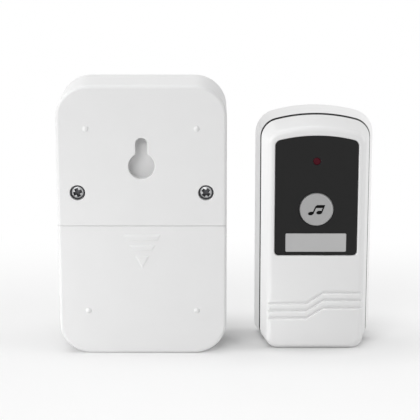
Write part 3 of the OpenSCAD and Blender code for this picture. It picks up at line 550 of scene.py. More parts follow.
class Stock(Enum):
    """Every material of the set."""

    # ABS moulded in a finely sparked mould: a soft white with a dull, wide sheen
    CHIME_ABS = Finish("abs_satin_white", "#e4e4e4", 0.36)
    # The same ABS in the keyhole's pocket, painted a touch brighter as light on the pocket's floor, and a
    # little glossier
    POCKET_ABS = Finish("abs_white_painted_light", "#ebebeb", 0.3)
    # The same white ABS on the push's housing, painted a touch greyer as shade
    PUSH_ABS = Finish("abs_satin_white_painted_grey", "#d4d4d4", 0.34)
    # Black polycarbonate film with a velvet print: nearly no reflection
    PANEL_FILM = Finish(
        "polycarbonate_film_black", "#1d1d1d", 0.42, specular=0.17, patch_shade=0.1, grain_mm=0.3
    )
    # Grey ABS of the button, moulded smooth
    BUTTON_ABS = Finish("abs_moulded_grey", "#a6a6a6", 0.42, specular=0.35)
    # Pale grey ABS of the small side button
    TUNE_ABS = Finish("abs_moulded_pale_grey", "#cfd0d0", 0.42)
    # Screen ink of the button's sign: dense black, without shine
    SCREEN_INK = Finish("screen_ink_black", "#080808", 0.7, specular=0.08)
    # Brushed aluminium plate: fine lines along its length, drawn coarser than real so that they show
    BRUSHED_PLATE = Finish(
        "aluminium_brushed",
        "#b4b4b4",
        0.5,
        metallic=0.6,
        patch_shade=0.06,
        grain_mm=0.45,
        stretch=(0.02, 1.0, 1.0),
    )
    # Zinc plated steel of the screws: grey metal with soft clouds
    ZINC_STEEL = Finish("steel_zinc_plated", "#c6c7c8", 0.45, metallic=1.0, patch_mm=1.6, patch_shade=0.3)
    # The same screws with painted shade in their recess and round their edge: dull and dark
    WORN_STEEL = Finish("steel_painted_shade", "#59595c", 0.5, metallic=0.6, patch_mm=1.0, patch_shade=0.3)
    # Nickel plated spring steel: bright and smooth
    NICKEL_STEEL = Finish(
        "steel_nickel_plated", "#b9bbbc", 0.24, metallic=1.0, patch_mm=3.0, patch_shade=0.12
    )
    # EPDM seal: deep matt black
    EPDM = Finish("epdm_moulded_black", "#151516", 0.8, specular=0.25, patch_shade=0.2)
    # Foam ring: open pores
    FOAM = Finish(
        "polyurethane_foam_black",
        "#1e1e1f",
        0.95,
        specular=0.1,
        patch_mm=0.8,
        patch_shade=0.5,
        grain_depth_mm=0.1,
    )
    # Epoxy lamp, unlit: dark red with hardly a shine
    LAMP_EPOXY = Finish("epoxy_cast_red", "#4c0c1b", 0.4, specular=0.1, patch_mm=1.2, patch_shade=0.35)
    # Glass fibre board under green solder mask
    BOARD = BoardFinish("fr4_solder_mask_green", "#235a38", 0.38)
    # Epoxy moulding compound of chips and switches: dull black
    CHIP_EPOXY = Finish("epoxy_moulded_black", "#1c1d1e", 0.55, patch_shade=0.15, grain_mm=0.2)
    # Enamelled copper wire: warm and glossy
    COPPER = Finish("copper_enamelled", "#b4713c", 0.28, metallic=1.0, patch_mm=2.0, patch_shade=0.2)
    # Shrunk film jacket of a cell: blue-grey and glossy
    CELL_FILM = Finish("pet_film_shrunk_blue_grey", "#4a5a68", 0.3, patch_shade=0.1)
    # The jacket's band at the plus end: pale print
    CELL_BAND = Finish("pet_film_pale_print", "#b9bec2", 0.36, patch_shade=0.1)
    # Sintered ferrite magnet: dull dark grey
    FERRITE = Finish("ferrite_sintered", "#3b3c3e", 0.7, patch_mm=1.0, patch_shade=0.25, grain_depth_mm=0.02)
    # Pressed paper cone: matt, with fibres
    CONE_PAPER = Finish("paper_pressed_black", "#202021", 0.9, specular=0.15, patch_mm=1.5, patch_shade=0.35)
    # PVC insulation, red
    LEAD_RED = Finish("pvc_extruded_red", "#a32624", 0.4)
    # PVC insulation, black
    LEAD_BLACK = Finish("pvc_extruded_black", "#1b1b1c", 0.4)

    def material(self) -> bpy.types.Material:
        """Returns the Blender material, made on first use."""
        return bpy.data.materials.get(self.value.name) or self.value.build()


CELL_STOCKS = [Stock.CELL_FILM, Stock.CELL_BAND, Stock.NICKEL_STEEL]


@dataclass(frozen=True)
class Cell:
    """A dry cell's turned form: radii and depths from its minus end, and then from its plus end."""

    minus: tuple[Flat, ...]
    plus: tuple[Flat, ...]
    # Number of the form's bands that are bare steel, jacket, the jacket's pale end, and bare steel again
    bands: tuple[int, int, int, int]

    def add(self, made: Sculpt, axis: Along, place: Flat, ends: Flat) -> None:
        """Adds the cell to a sculpt, with its faces numbered as in CELL_STOCKS.

        Args:
            made: The sculpt.
            axis: Axis that the cell lies along.
            place: Coordinates of that axis.
            ends: Depths of its minus end and its plus end.
        """
        way = math.copysign(1, ends[1] - ends[0])
        profile = [(r, ends[0] + way * y) for r, y in self.minus]
        profile += [(r, ends[1] + way * y) for r, y in self.plus]
        numbers = [stock for stock, count in zip((2, 0, 1, 2), self.bands) for _ in range(count)]
        made.turn(axis, *place, profile, numbers=numbers)


AA_CELL = Cell(
    ((0, 0.1), (4.8, 0.1), (5.2, 0), (6.0, 0), (6.3, 0.25), (6.5, 0.1), (6.9, 0.25), (7.1, 0.7)),
    (
        (7.1, -15), (7.1, -0.7), (6.9, -0.25), (6.5, -0.1), (6.2, -0.3),
        (3.6, -0.3), (2.75, 0), (2.75, 1.1), (2.5, 1.3), (0, 1.3),
    ),
    (4, 4, 3, 6),
)
SMALL_CELL = Cell(
    ((0, 0), (3.6, 0), (4.2, 0.15), (4.6, 0), (5.1, 0.5)),
    ((5.1, -8), (5.1, -0.5), (4.6, 0), (3.4, 0), (3.1, -0.2), (2.0, 0), (2.0, 0.9), (1.8, 1.1), (0, 1.1)),
    (3, 2, 2, 6),
)


@dataclass
class Unit:
    """A unit of the set, which stands at a place of its own."""

    origin: Point

    def dress(self, piece: Thing, stocks: list[Stock], body: str, slot: str, nodes: list[str]) -> None:
        """Brings a piece into the frame, smooths it, gives it its materials and lets it ride.

        Args:
            piece: The piece, in millimetres from the unit's place.
            stocks: Its materials, in the order of its faces' numbers.
            body: The body that it rides on.
            slot: The record's material slot; not used.
            nodes: The frame's nodes that it stands for.
        """
        mesh = piece.data
        made = bmesh.new()
        made.from_mesh(mesh)
        bmesh.ops.remove_doubles(made, verts=made.verts[:], dist=WELD)
        bmesh.ops.dissolve_degenerate(made, edges=made.edges[:], dist=SLIVER)
        made.to_mesh(mesh)
        made.free()
        mesh.transform(Matrix.Diagonal((MM, MM, MM, 1)) @ Matrix.Translation(self.origin))
        mesh.shade_smooth()
        mesh.set_sharp_from_angle(angle=SHARP)
        for stock in stocks:
            mesh.materials.append(stock.material())
        normals = piece.modifiers.new("even_normals", "WEIGHTED_NORMAL")
        normals.keep_sharp = True
        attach(piece, body)
        if nodes:
            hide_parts(*nodes)
        LOG.info("%s: %d faces, rides on %s", piece.name, len(mesh.polygons), body)


@dataclass
class Chime(Unit):
    """The battery chime: rear shell, battery door, front shell, screws, side button and cells."""

    origin: Point = (-29.9, -14.6, 0.0)
    half: float = 34.0
    height: float = 111.2
    depth: float = 27.6
    corner: float = 13.0
    back_edge: float = 1.4
    front_edge: float = 3.0
    wall: float = 2.0
    # Depths in the back wall at which the forms behind it start and the raised ones are rooted
    root: float = 1.0
    raised_root: float = 0.5
    parting: float = 20.6
    parting_bevel: float = 0.25
    seam: float = 0.14
    door_edge: float = 0.3
    door_top: float = 53.9
    door_plate: float = 1.8
    door_rim: float = 5.3
    door_bevel: float = 0.2
    # Depth and height past the door's rim and top, where the helpers of its cuts end
    past_rim: float = 8.0
    past_top: float = 60.0
    bay_half: float = 29.0
    bay_low: float = 4.0
    bay_high: float = 51.1
    bay_corner: float = 6.0
    bay_front: float = 2.3
    bay_floor: float = 17.0
    bay_end: float = 18.4
    roof: float = 55.6
    runner_x: Flat = (30.9, 33.0)
    runner_y: Flat = (3.95, 4.95)
    runner_z: Flat = (15.4, 51.5)
    runner_gap: float = 0.35
    tab_half: float = 8.0
    tab_y: Flat = (1.05, 1.8)
    tab_high: float = 57.5
    keyhole_z: float = 78.5
    keyhole_rise: float = 9.1
    keyhole_r: float = 5.25
    slot_half: float = 2.35
    keyhole_edge: float = 0.4
    pocket_depth: float = 6.4
    pocket_gap: float = 0.6
    pocket_wall: float = 1.2
    # The keyhole's cut ends just before the pocket's floor, and faces this near the pocket take the pocket's
    # painted light
    pocket_short: float = 0.02
    pocket_near: float = 0.1
    screw_x: float = 25.7
    screw_z: float = 67.6
    # Turned form of a screw, its recesses' leans, and their depths, reaches and half widths
    screw_profile: tuple[Flat, ...] = (
        (0, 0.6), (0.9, 0.62), (1.5, 0.68), (2.0, 0.84), (2.3, 1.05), (2.6, 1.2), (2.9, 1.35),
        (2.98, 1.6), (2.98, 2.4), (1.45, 2.4), (1.45, 15.9), (0.9, 16.4), (0, 16.4),
    )
    screw_leans: Flat = (22.0, 50.0)
    recess_levels: tuple[Triple, ...] = ((0.2, 1.95, 0.76), (0.9, 1.8, 0.7), (2.0, 1.3, 0.5))
    # Faces of the recess lie within a radius, and are steep or deep; those of the flange lie outside; both
    # take painted shade
    recess_r: float = 1.9
    recess_steep: float = 0.6
    recess_deep: float = 1.2
    flange_r: float = 2.3
    boss_wall: float = 0.95
    boss_end: float = 9.0
    well_r: float = 3.1
    well_depth: float = 2.4
    well_edge: float = 0.3
    shank_r: float = 1.75
    shank_y: Flat = (2.0, 10.0)
    nub_x: float = 22.0
    nub_zs: Flat = (93.7, 18.3)
    nub_r: float = 1.2
    nub_height: float = 0.6
    arrow_half: float = 7.8
    arrow_height: float = 14.9
    arrow_drop: float = 3.4
    arrow_bar: float = 2.9
    arrow_space: float = 1.5
    arrow_raise: float = 0.4
    # Depth and inset down the soft sides of the arrow's strips
    arrow_ramp: tuple[Flat, ...] = (
        (0.0, 0.95), (0.03, 0.75), (0.12, 0.55), (0.28, 0.3), (0.37, 0.12), (0.4, 0.0)
    )
    tune_y: float = 12.7
    tune_z: float = 82.7
    tune_half: Flat = (1.8, 4.0)
    tune_proud: float = 0.8
    tune_gap: float = 0.3
    tune_edge: float = 0.5
    tune_rim: float = 1.0
    speaker_z: float = 80.7
    grille_pitch: float = 4.2
    grille_r: float = 1.2
    grille_edge: float = 0.3
    grille_rings: int = 4
    cell_y: float = 9.4
    cell_zs: Triple = (13.9, 28.7, 43.5)
    cell_ways: Triple = (1, -1, 1)
    cell_x: Flat = (-22.2, 27.0)
    spring_x: float = 27.9
    spring_length: float = 5.15

    def outline(self, inset: float) -> Outline:
        """Draws the casing's outline, drawn in by a distance."""
        return rounded(self.half - inset, inset, self.height - inset, self.corner - inset)

    def lower_outline(self, inset: float, top: float) -> Outline:
        """Draws the casing's lower part, drawn in by a distance and cut off level at a height."""
        return rounded(self.half - inset, inset, top, self.corner - inset, level=True)

    def keyhole(self, grow: float) -> Outline:
        """Draws the keyhole.

        Args:
            grow: Distance that it is grown by.

        Returns:
            The outline, from the left of its slot round the head opening.
        """
        r, half = self.keyhole_r + grow, self.slot_half + grow
        meet = math.degrees(math.acos(half / r))
        slot_end = arc(0, self.keyhole_z + self.keyhole_rise, half, 0, 180, 20)
        return arc(0, self.keyhole_z, r, 180 - meet, 360 + meet, 48) + slot_end

    def pocket(self, grow: float) -> Outline:
        """Draws the room behind the keyhole, grown by a distance."""
        r = self.keyhole_r + self.pocket_gap + grow
        return stadium(0, self.keyhole_z, self.keyhole_z + self.keyhole_rise, r)

    def nub(self, x: float, z: float) -> Sculpt:
        """Makes one of the small round nubs that keep the back off the wall.

        Args:
            x: Its middle across.
            z: Its middle up.

        Returns:
            The nub with its root in the back.
        """
        ball = (self.nub_r**2 + self.nub_height**2) / (2 * self.nub_height)
        tops = [self.nub_height * (1 - (k / 6) ** 2) for k in range(7)]
        dome = [(math.sqrt(ball**2 - (ball - self.nub_height + h) ** 2), -h) for h in tops]
        stem = [(self.nub_r, self.raised_root), (0, self.raised_root)]
        return Sculpt().turn(Along.Y, x, z, dome + stem, 24)

    def tray(self, end: float, bevel: float, floor: float) -> Sculpt:
        """Makes an open tray with the casing's outline and its soft edge at the back.

        Args:
            end: Depth of its rim.
            bevel: Bevel of the rim's outer edge.
            floor: Depth of its floor.

        Returns:
            The tray.
        """
        rim = [(end - bevel, 0.0), (end, bevel), (end, self.wall), (floor, self.wall)]
        steps = round_edge(self.back_edge) + rim
        return Sculpt().loft(Along.Y, [(y, self.outline(inset)) for y, inset in steps])

    def rear_shell(self) -> None:
        """Builds the rear shell with its keyhole, screw wells and battery bay."""
        shell = self.tray(self.parting, self.parting_bevel, self.wall).thing("rear_shell")
        bay = prism(self.lower_outline(self.root, self.roof), self.root, self.bay_end)
        body = prism(self.pocket(self.pocket_wall), self.root, self.pocket_depth + self.pocket_wall)
        change(shell, Change.ADD, bay, body)
        for side in (-1, 1):
            boss = circle(side * self.screw_x, self.screw_z, self.well_r + self.boss_wall)
            nub = self.nub(side * self.nub_x, self.nub_zs[0])
            change(shell, Change.ADD, prism(boss, self.root, self.boss_end), nub)
        self.cut_bay(shell)
        self.cut_back(shell)
        ends = (-self.half - OUT, self.wall + OUT - self.half)
        slot = Sculpt().loft(Along.X, [(x, self.tune_outline(self.tune_gap)) for x in ends])
        change(shell, Change.CUT, slot)
        low, high = self.keyhole_z, self.keyhole_z + self.keyhole_rise
        # Faces in the keyhole's pocket get the brighter ABS: painted light on the pocket
        reach = self.keyhole_r + self.pocket_gap + self.pocket_near
        for face in shell.data.polygons:
            x, y, z = face.center
            inside = math.hypot(x, z - min(max(z, low), high)) < reach
            sunk = self.keyhole_edge < y < self.pocket_depth + self.pocket_near
            face.material_index = int(inside and sunk)
        stocks = [Stock.CHIME_ABS, Stock.POCKET_ABS]
        self.dress(shell, stocks, "chime", "casing_white", ["chime_rear_housing"])

    def cut_bay(self, shell: Thing) -> None:
        """Cuts the battery door's room, the bay's hollow and the door's guides.

        Args:
            shell: The rear shell.
        """
        edge, gap = self.door_top + self.seam, self.runner_gap
        deep = (-2 * OUT, self.door_rim + self.seam)
        room = block((-PAST, PAST), deep, (-2 * OUT, edge)).thing("door_room")
        core = self.lower_outline(self.wall + self.seam, self.past_top)
        change(room, Change.CUT, prism(core, self.bay_front, self.past_rim))
        cutter = Sculpt()
        cutter.bm.from_mesh(room.data)
        bpy.data.objects.remove(room)
        change(shell, Change.CUT, cutter)
        hollow = rounded(self.bay_half, self.bay_low, self.bay_high, self.bay_corner, 10, level=True)
        change(shell, Change.CUT, prism(hollow, -OUT, self.bay_floor))
        deep = (self.runner_y[0] - gap, self.runner_y[1] + gap)
        for side in (-1, 1):
            wide = (side * (self.runner_x[0] - gap), side * (self.half - self.wall))
            change(shell, Change.CUT, block(wide, deep, (-OUT, edge)))
        half = self.tab_half + gap
        deep = (self.tab_y[0] - gap, self.tab_y[1] + gap)
        change(shell, Change.CUT, block((-half, half), deep, (self.bay_high - OUT, self.tab_high + gap)))

    def cut_back(self, shell: Thing) -> None:
        """Cuts the keyhole with its softened edge, its pocket and the screw wells.

        Args:
            shell: The rear shell.
        """
        floor = self.pocket_depth - self.pocket_short
        room = prism(self.pocket(0), self.wall, self.pocket_depth)
        change(shell, Change.CUT, mouth(self.keyhole, self.keyhole_edge, floor), room)
        r, deep, wide = self.well_r, self.well_depth, self.well_r + self.well_edge
        edge = [(r + grow, y) for y, grow in round_edge(self.well_edge, 4)]
        well = [(0, -OUT), (wide, -OUT), *edge, (r, deep), (0, deep)]
        for x in (-self.screw_x, self.screw_x):
            shank = prism(circle(x, self.screw_z, self.shank_r, 24), *self.shank_y)
            change(shell, Change.CUT, Sculpt().turn(Along.Y, x, self.screw_z, well), shank)

    def tune_outline(self, grow: float) -> Outline:
        """Draws the side button's outline in depth and height, grown by a distance."""
        r, tall = self.tune_half
        return stadium(self.tune_y, self.tune_z - tall + r, self.tune_z + tall - r, r + grow)

    def battery_door(self) -> None:
        """Builds the battery door with its rim, runners, tab, nubs and slide arrow."""
        door = self.tray(self.door_rim, self.door_bevel, self.door_plate).thing("slide_door")
        top, r, high = self.door_top, self.door_edge, self.height + 2 * OUT
        above = [(-2 * OUT, top - r), *arc(r, top - r, r, 180, 90, 5), (self.past_rim, top)]
        above += [(self.past_rim, high), (-2 * OUT, high)]
        change(door, Change.CUT, Sculpt().loft(Along.X, [(x, above) for x in (-PAST, PAST)]))
        for side in (-1, 1):
            runner = block((side * self.runner_x[0], side * self.runner_x[1]), self.runner_y, self.runner_z)
            change(door, Change.ADD, runner, self.nub(side * self.nub_x, self.nub_zs[1]))
        tab = block((-self.tab_half, self.tab_half), self.tab_y, (top - OUT, self.tab_high))
        change(door, Change.ADD, tab)
        for strip in self.arrow():
            tops = [(y - self.arrow_raise, drawn_in(strip, inset)) for y, inset in self.arrow_ramp]
            change(door, Change.ADD, Sculpt().loft(Along.Y, [*tops, (self.raised_root, strip)]))
        self.dress(door, [Stock.CHIME_ABS], "battery_door", "casing_white", ["battery_door"])

    def arrow(self) -> list[Outline]:
        """Draws the slide arrow.

        Returns:
            The outlines of its two bars and its tip.
        """
        bar, step = self.arrow_bar, self.arrow_bar + self.arrow_space
        top = self.door_top - self.arrow_drop
        strips = []
        for start, end in ((0, bar), (step, step + bar), (2 * step, self.arrow_height)):
            near, far = (self.arrow_half * (1 - drop / self.arrow_height) for drop in (start, end))
            low = [(-far, top - end), (far, top - end)] if end < self.arrow_height else [(0, top - end)]
            strips.append([*low, (near, top - start), (-near, top - start)])
        return strips

    def front_shell(self) -> None:
        """Builds the front shell with its rounded edge and the sound holes."""
        start, bevel, inner = self.parting, self.parting_bevel, self.depth - self.wall
        steps = [(self.depth - drop, inset) for drop, inset in round_edge(self.front_edge, 8)]
        steps += [(start + bevel, 0.0), (start, bevel), (start, self.wall), (inner, self.wall)]
        levels = [(y, self.outline(inset)) for y, inset in steps]
        places = [(0.0, self.speaker_z)]
        for ring in range(1, self.grille_rings + 1):
            places += circle(0, self.speaker_z, ring * self.grille_pitch, 6 * ring)
        flare = [(self.depth - drop, self.grille_r + grow) for drop, grow in round_edge(self.grille_edge, 3)]
        flare.append((inner, self.grille_r))
        holes = [[(y, circle(x, z, r, 20)) for y, r in flare] for x, z in places]
        shell = Sculpt().loft(Along.Y, levels, holes).thing("front_shell")
        self.dress(shell, [Stock.CHIME_ABS], "chime", "casing_white", ["chime_front_cover"])

    def screws(self) -> None:
        """Builds the two pan head screws with their cross recesses."""
        xs = (-self.screw_x, self.screw_x)
        made = Sculpt()
        for x in xs:
            made.turn(Along.Y, x, self.screw_z, self.screw_profile)
        screws = made.thing("pan_screws")
        for x, lean in zip(xs, self.screw_leans):
            levels = []
            for y, reach, half in self.recess_levels:
                arm = [(half, half), (half, reach), (-half, reach)]
                arms = [turned(arm, x, self.screw_z, lean + 90 * k) for k in range(4)]
                levels.append((y, sum(arms, [])))
            change(screws, Change.CUT, Sculpt().loft(Along.Y, levels))
        # Faces in the recess and round the flange take the painted shade
        for face in screws.data.polygons:
            off = math.hypot(abs(face.center.x) - self.screw_x, face.center.z - self.screw_z)
            cut = abs(face.normal.y) < self.recess_steep or face.center.y > self.recess_deep
            face.material_index = int((off < self.recess_r and cut) or off > self.flange_r)
        self.dress(screws, [Stock.ZINC_STEEL, Stock.WORN_STEEL], "chime", "screw_steel", ["case_screws"])

    def tune_button(self) -> None:
        """Builds the side button with its soft edge and the rim that keeps it in the wall."""
        face, rim = -self.half - self.tune_proud, self.tune_rim
        inner = self.wall + self.tune_gap - self.half
        steps = [(face + drop, -inset) for drop, inset in round_edge(self.tune_edge, 5)]
        steps += [(inner, 0.0), (inner, rim), (inner + rim, rim)]
        levels = [(x, self.tune_outline(grow)) for x, grow in steps]
        button = Sculpt().loft(Along.X, levels).thing("side_button")
        self.dress(button, [Stock.TUNE_ABS], "tune_button", "button_grey", ["tune_button"])

    def cells(self) -> None:
        """Builds the three cells: film jackets, a printed band, steel ends and plus nubs."""
        made, (start, end) = Sculpt(), self.cell_x
        for way, z in zip(self.cell_ways, self.cell_zs):
            AA_CELL.add(made, Along.X, (self.cell_y, z), (way * start, way * end))
        self.dress(made.thing("aa_cell_set"), CELL_STOCKS, "chime", "cell_jacket", ["aa_cells"])

    def springs(self) -> None:
        """Builds the three tapered contact springs."""
        made = Sculpt()
        for way, z in zip(self.cell_ways, self.cell_zs):
            made.coil(Along.X, (-way * self.spring_x, self.cell_y, z), way * self.spring_length)
        springs = made.thing("bay_springs")
        self.dress(springs, [Stock.NICKEL_STEEL], "chime", "contact_steel", ["contact_springs"])

    def build(self) -> None:
        """Builds every piece of the chime."""
        self.rear_shell()
        self.battery_door()
        self.front_shell()
        self.screws()
        self.tune_button()
        self.cells()
        self.springs()


@dataclass
class Push(Unit):
    """The bell push: housing, wall base, seal, panel, button, lamp and name plate."""

    origin: Point = (40.4, -8.6, 0.0)
    half: float = 24.3
    height: float = 98.1
    depth: float = 23.8
    draft: float = 0.2
    housing: float = 12.6
    # Depth and inset of the broken edges beside the seal
    seam_bevel: Flat = (0.12, 0.1)
    seal: float = 2.0
    seal_in: float = 0.02
    seal_width: float = 2.1
    seal_edge: float = 0.2
    wall: float = 2.0
    front_wall: float = 2.4
    rear_wall: float = 2.2
    crown: float = 65.0
    top_corner: float = 10.0
    low_corner: float = 4.6
    least_corner: float = 0.4
    edge: float = 2.4
    # Drop and inset down the base's edge at the wall
    base_edge: tuple[Flat, ...] = ((0.0, 0.5), (0.15, 0.15), (0.5, 0.0))
    spigot_reach: float = 2.4
    spigot_gap: float = 0.35
    spigot_wall: float = 1.4
    spigot_edge: float = 0.3
    hole_zs: Flat = (14.0, 82.0)
    hole_r: float = 2.1
    hole_edge: float = 0.2
    sink_r: float = 3.7
    panel_half: float = 16.74
    panel_low: float = 39.9
    panel_top: float = 89.5
    panel_crown: float = 62.2
    panel_corners: Flat = (2.4, 1.6)
    panel_sink: float = 0.3
    panel_thick: float = 0.9
    panel_gap: float = 0.15
    panel_edge: float = 0.45
    panel_round: float = 0.25
    opening_round: float = 0.1
    opening_y: Flat = (0.5, 4.0)
    button_z: float = 59.2
    button_r: float = 6.7
    button_face: float = -0.4
    button_gap: float = 0.3
    button_edge: float = 0.5
    button_rim: float = 1.0
    button_rim_y: Flat = (2.7, 3.9)
    # The sign, from the button's middle: its depths, its heads' places, half sizes and lean, and its bars
    note_y: Flat = (-0.04, 0.1)
    note_heads: tuple[tuple[Flat, Flat], ...] = (
        ((-2.2, -1.52), (1.2, 0.72)),
        ((1.22, -1.14), (1.24, 0.76)),
    )
    note_lean: float = 12.0
    note_bars: tuple[tuple[Flat, ...], ...] = (
        ((-1.66, -1.45), (-1.1, -1.45), (0.26, 1.6), (-0.3, 1.6)),
        ((1.84, -1.05), (2.4, -1.05), (3.4, 1.6), (2.84, 1.6)),
        ((-0.36, 0.75), (3.08, 0.75), (3.52, 1.98), (0.16, 1.98)),
    )
    lamp_z: float = 79.1
    lamp_r: float = 1.5
    lamp_gap: float = 0.06
    lamp_dome: float = 0.3
    lamp_rim: float = 0.3
    lamp_rim_y: Flat = (2.7, 8.4)
    name_half: float = 12.34
    name_z: Flat = (41.4, 49.1)
    name_y: Flat = (0.15, 0.55)
    name_corner: float = 0.5
    name_edge: float = 0.15
    groove_z: float = 12.5
    groove_pitch: float = 3.2
    groove_step: float = 4.45
    groove_bend: float = 3.5
    groove_width: float = 1.3
    groove_count: int = 3
    # Depth of a groove's levels, and how far its lower edge moves down and its upper edge up there
    groove_section: tuple[Triple, ...] = (
        (-0.5, 0.36, 0.5), (0.0, 0.36, 0.5), (0.04, 0.2, 0.34),
        (0.14, 0.06, 0.08), (0.4, -0.06, -0.36), (0.8, -0.2, -0.94),
    )
    cell_y: float = 15.6
    cell_z: Flat = (19.0, 46.4)
    spring_z: float = 15.4
    spring_length: float = 3.05

    def draw_in(self, y: float) -> float:
        """Tells how far the sides are drawn in at a depth."""
        return self.draft * (self.depth - y)

    def arch(self, half: float, top: float, low: float, crown: float, top_r: float, low_r: float) -> Outline:
        """Draws an outline with an arched top, round corners and a flat bottom.

        Args:
            half: Half of its width.
            top: Height of the arch's crown.
            low: Height of the flat bottom.
            crown: Radius of the arch.
            top_r: Radius of the top corners.
            low_r: Radius of the bottom corners.

        Returns:
            The outline, from the lower right corner round to the left.
        """
        middle, x = top - crown, half - top_r
        z = middle + math.sqrt((crown - top_r) ** 2 - x**2)
        lean = math.degrees(math.atan2(z - middle, x))
        return (
            arc(half - low_r, low + low_r, low_r, -90, 0, 12)
            + arc(x, z, top_r, 0, lean, 12)
            + arc(0, middle, crown, lean, 180 - lean, 36)[1:-1]
            + arc(-x, z, top_r, 180 - lean, 180, 12)
            + arc(low_r - half, low + low_r, low_r, 180, 270, 12)
        )

    def outline(self, inset: float, floor: float, tighten: float) -> Outline:
        """Draws the casing's outline.

        Args:
            inset: Distance that its sides and top are drawn in.
            floor: Height of its bottom.
            tighten: How much smaller its bottom corners are.

        Returns:
            The outline.
        """
        top_r = max(self.top_corner - inset, self.least_corner)
        low_r = max(self.low_corner - tighten, self.least_corner)
        return self.arch(self.half - inset, self.height - inset, floor, self.crown - inset, top_r, low_r)

    def side(self, y: float, inset: float, tighten: float = 0.0) -> Level:
        """Draws the casing at a depth, drawn in from its outside, with its bottom corners tightened."""
        return y, self.outline(self.draw_in(y) + inset, inset, tighten)

    def inside(self, y: float, gap: float) -> Level:
        """Draws the casing's inside at a depth, drawn in from its wall by a clearance."""
        return self.side(y, self.wall + gap, self.wall + gap)

    def panel(self, grow: float) -> Outline:
        """Draws the panel's outline, grown by a distance."""
        radii = [r + grow for r in (self.panel_crown, *self.panel_corners)]
        return self.arch(self.panel_half + grow, self.panel_top + grow, self.panel_low - grow, *radii)

    def name_outline(self, grow: float) -> Outline:
        """Draws the name plate's outline, grown by a distance."""
        low, high = self.name_z
        return rounded(self.name_half + grow, low - grow, high + grow, self.name_corner, 4)

    def housing_levels(self) -> list[Level]:
        """Lists the levels of the front housing.

        Returns:
            Its outside from the front face back, and then its inside to the front wall.
        """
        slope = math.hypot(1, self.draft)
        middle = self.draft * self.depth + self.edge * (slope - self.draft)
        last = math.acos(self.draft / slope)
        levels = []
        for a in (last * k / 8 for k in range(9)):
            y, inset = self.edge * (1 - math.cos(a)), middle - self.edge * math.sin(a)
            levels.append((y, self.outline(inset, inset - self.draw_in(y), 0)))
        drop, bevel = self.seam_bevel
        levels += [self.side(self.housing - drop, 0.0), self.side(self.housing, bevel)]
        return levels + [self.inside(y, 0) for y in (self.housing, self.front_wall)]

    def groove(self, z: float, low: float, high: float) -> Outline:
        """Draws a groove that runs level, climbs across the middle and runs level again.

        Args:
            z: Height of its lower edge on the left.
            low: How far the lower edge moves down.
            high: How far the upper edge moves up.

        Returns:
            The outline of the groove.
        """
        line = [(-self.half, z), (-self.groove_bend, z)]
        line += [(self.groove_bend, z + self.groove_step), (self.half, z + self.groove_step)]
        lower = [(x, height - low) for x, height in line]
        return lower + [(x, height + self.groove_width + high) for x, height in reversed(line)]

    def openings(self) -> list[Flat]:
        """Lists the height and the radius of the button's and the lamp's openings."""
        return [(self.button_z, self.button_r + self.button_gap), (self.lamp_z, self.lamp_r + self.lamp_gap)]

    def front_housing(self) -> None:
        """Builds the front housing with the panel's recess and the climbing grooves."""
        housing = Sculpt().loft(Along.Y, self.housing_levels()).thing("push_front_shell")
        floor = self.panel_sink + self.panel_thick
        recess = mouth(lambda grow: self.panel(self.panel_gap + grow), self.panel_edge, floor)
        holes = [prism(circle(0, z, r, 56), *self.opening_y) for z, r in self.openings()]
        change(housing, Change.CUT, recess, *holes)
        for k in range(self.groove_count):
            z = self.groove_z + k * self.groove_pitch
            levels = [(y, self.groove(z, low, high)) for y, low, high in self.groove_section]
            change(housing, Change.CUT, Sculpt().loft(Along.Y, levels))
        # The housing takes the greyer ABS: painted shade on the same white
        self.dress(housing, [Stock.PUSH_ABS], "push_front", "casing_white", ["push_housing"])

    def wall_base(self) -> None:
        """Builds the wall base with its spigot and the two countersunk screw holes."""
        start, tip = self.housing + self.seal, self.housing - self.spigot_reach
        floor, middle = self.depth - self.rear_wall, self.depth - self.rear_wall / 2
        drop, bevel = self.seam_bevel
        gap, edge = self.spigot_gap, self.spigot_edge
        levels = [self.side(self.depth - down, inset) for down, inset in self.base_edge]
        levels += [self.side(start + drop, 0.0), self.side(start, bevel)]
        levels += [self.inside(start, gap), self.inside(tip + edge, gap), self.inside(tip, gap + edge)]
        levels += [self.inside(y, gap + self.spigot_wall) for y in (tip, floor)]
        steps = [(self.depth, self.hole_r + self.hole_edge), (self.depth - self.hole_edge, self.hole_r)]
        steps += [(middle, self.hole_r), (floor, self.sink_r)]
        holes = [[(y, circle(0, z, r, 32)) for y, r in steps] for z in self.hole_zs]
        base = Sculpt().loft(Along.Y, levels, holes).thing("wall_base")
        self.dress(base, [Stock.CHIME_ABS], "push_base", "casing_white", ["push_base"])

    def seal_ring(self) -> None:
        """Builds the black seal with its rounded outer side."""
        near, far = self.housing, self.housing + self.seal
        out, soft, edge = self.seal_in, self.seal_in + self.seal_edge, self.seal_edge
        section = [(near, soft), (near + edge, out), (far - edge, out), (far, soft)]
        section += [(far, out + self.seal_width), (near, out + self.seal_width)]
        made = Sculpt()
        rings = made.rows(Along.Y, [self.side(y, inset, inset) for y, inset in section])
        made.bands([rings[-1], rings[0]])
        self.dress(made.thing("seal_ring"), [Stock.EPDM], "push_base", "seal_rubber", ["weather_seal"])

    def front_panel(self) -> None:
        """Builds the black panel with its soft edge, its two holes and the name plate's bed."""
        face, back = self.panel_sink, self.panel_sink + self.panel_thick
        levels = [(face + drop, self.panel(-inset)) for drop, inset in round_edge(self.panel_round, 4)]
        levels.append((back, self.panel(0)))
        steps = [(face + drop, grow) for drop, grow in round_edge(self.opening_round, 3)] + [(back, 0.0)]
        holes = [[(y, circle(0, z, r + grow, 56)) for y, grow in steps] for z, r in self.openings()]
        bed = [(y, self.name_outline(self.panel_gap)) for y in (face, self.name_y[1])]
        panel = Sculpt().loft(Along.Y, levels, holes, bed).thing("front_panel")
        self.dress(panel, [Stock.PANEL_FILM], "push_front", "panel_black", ["fascia"])

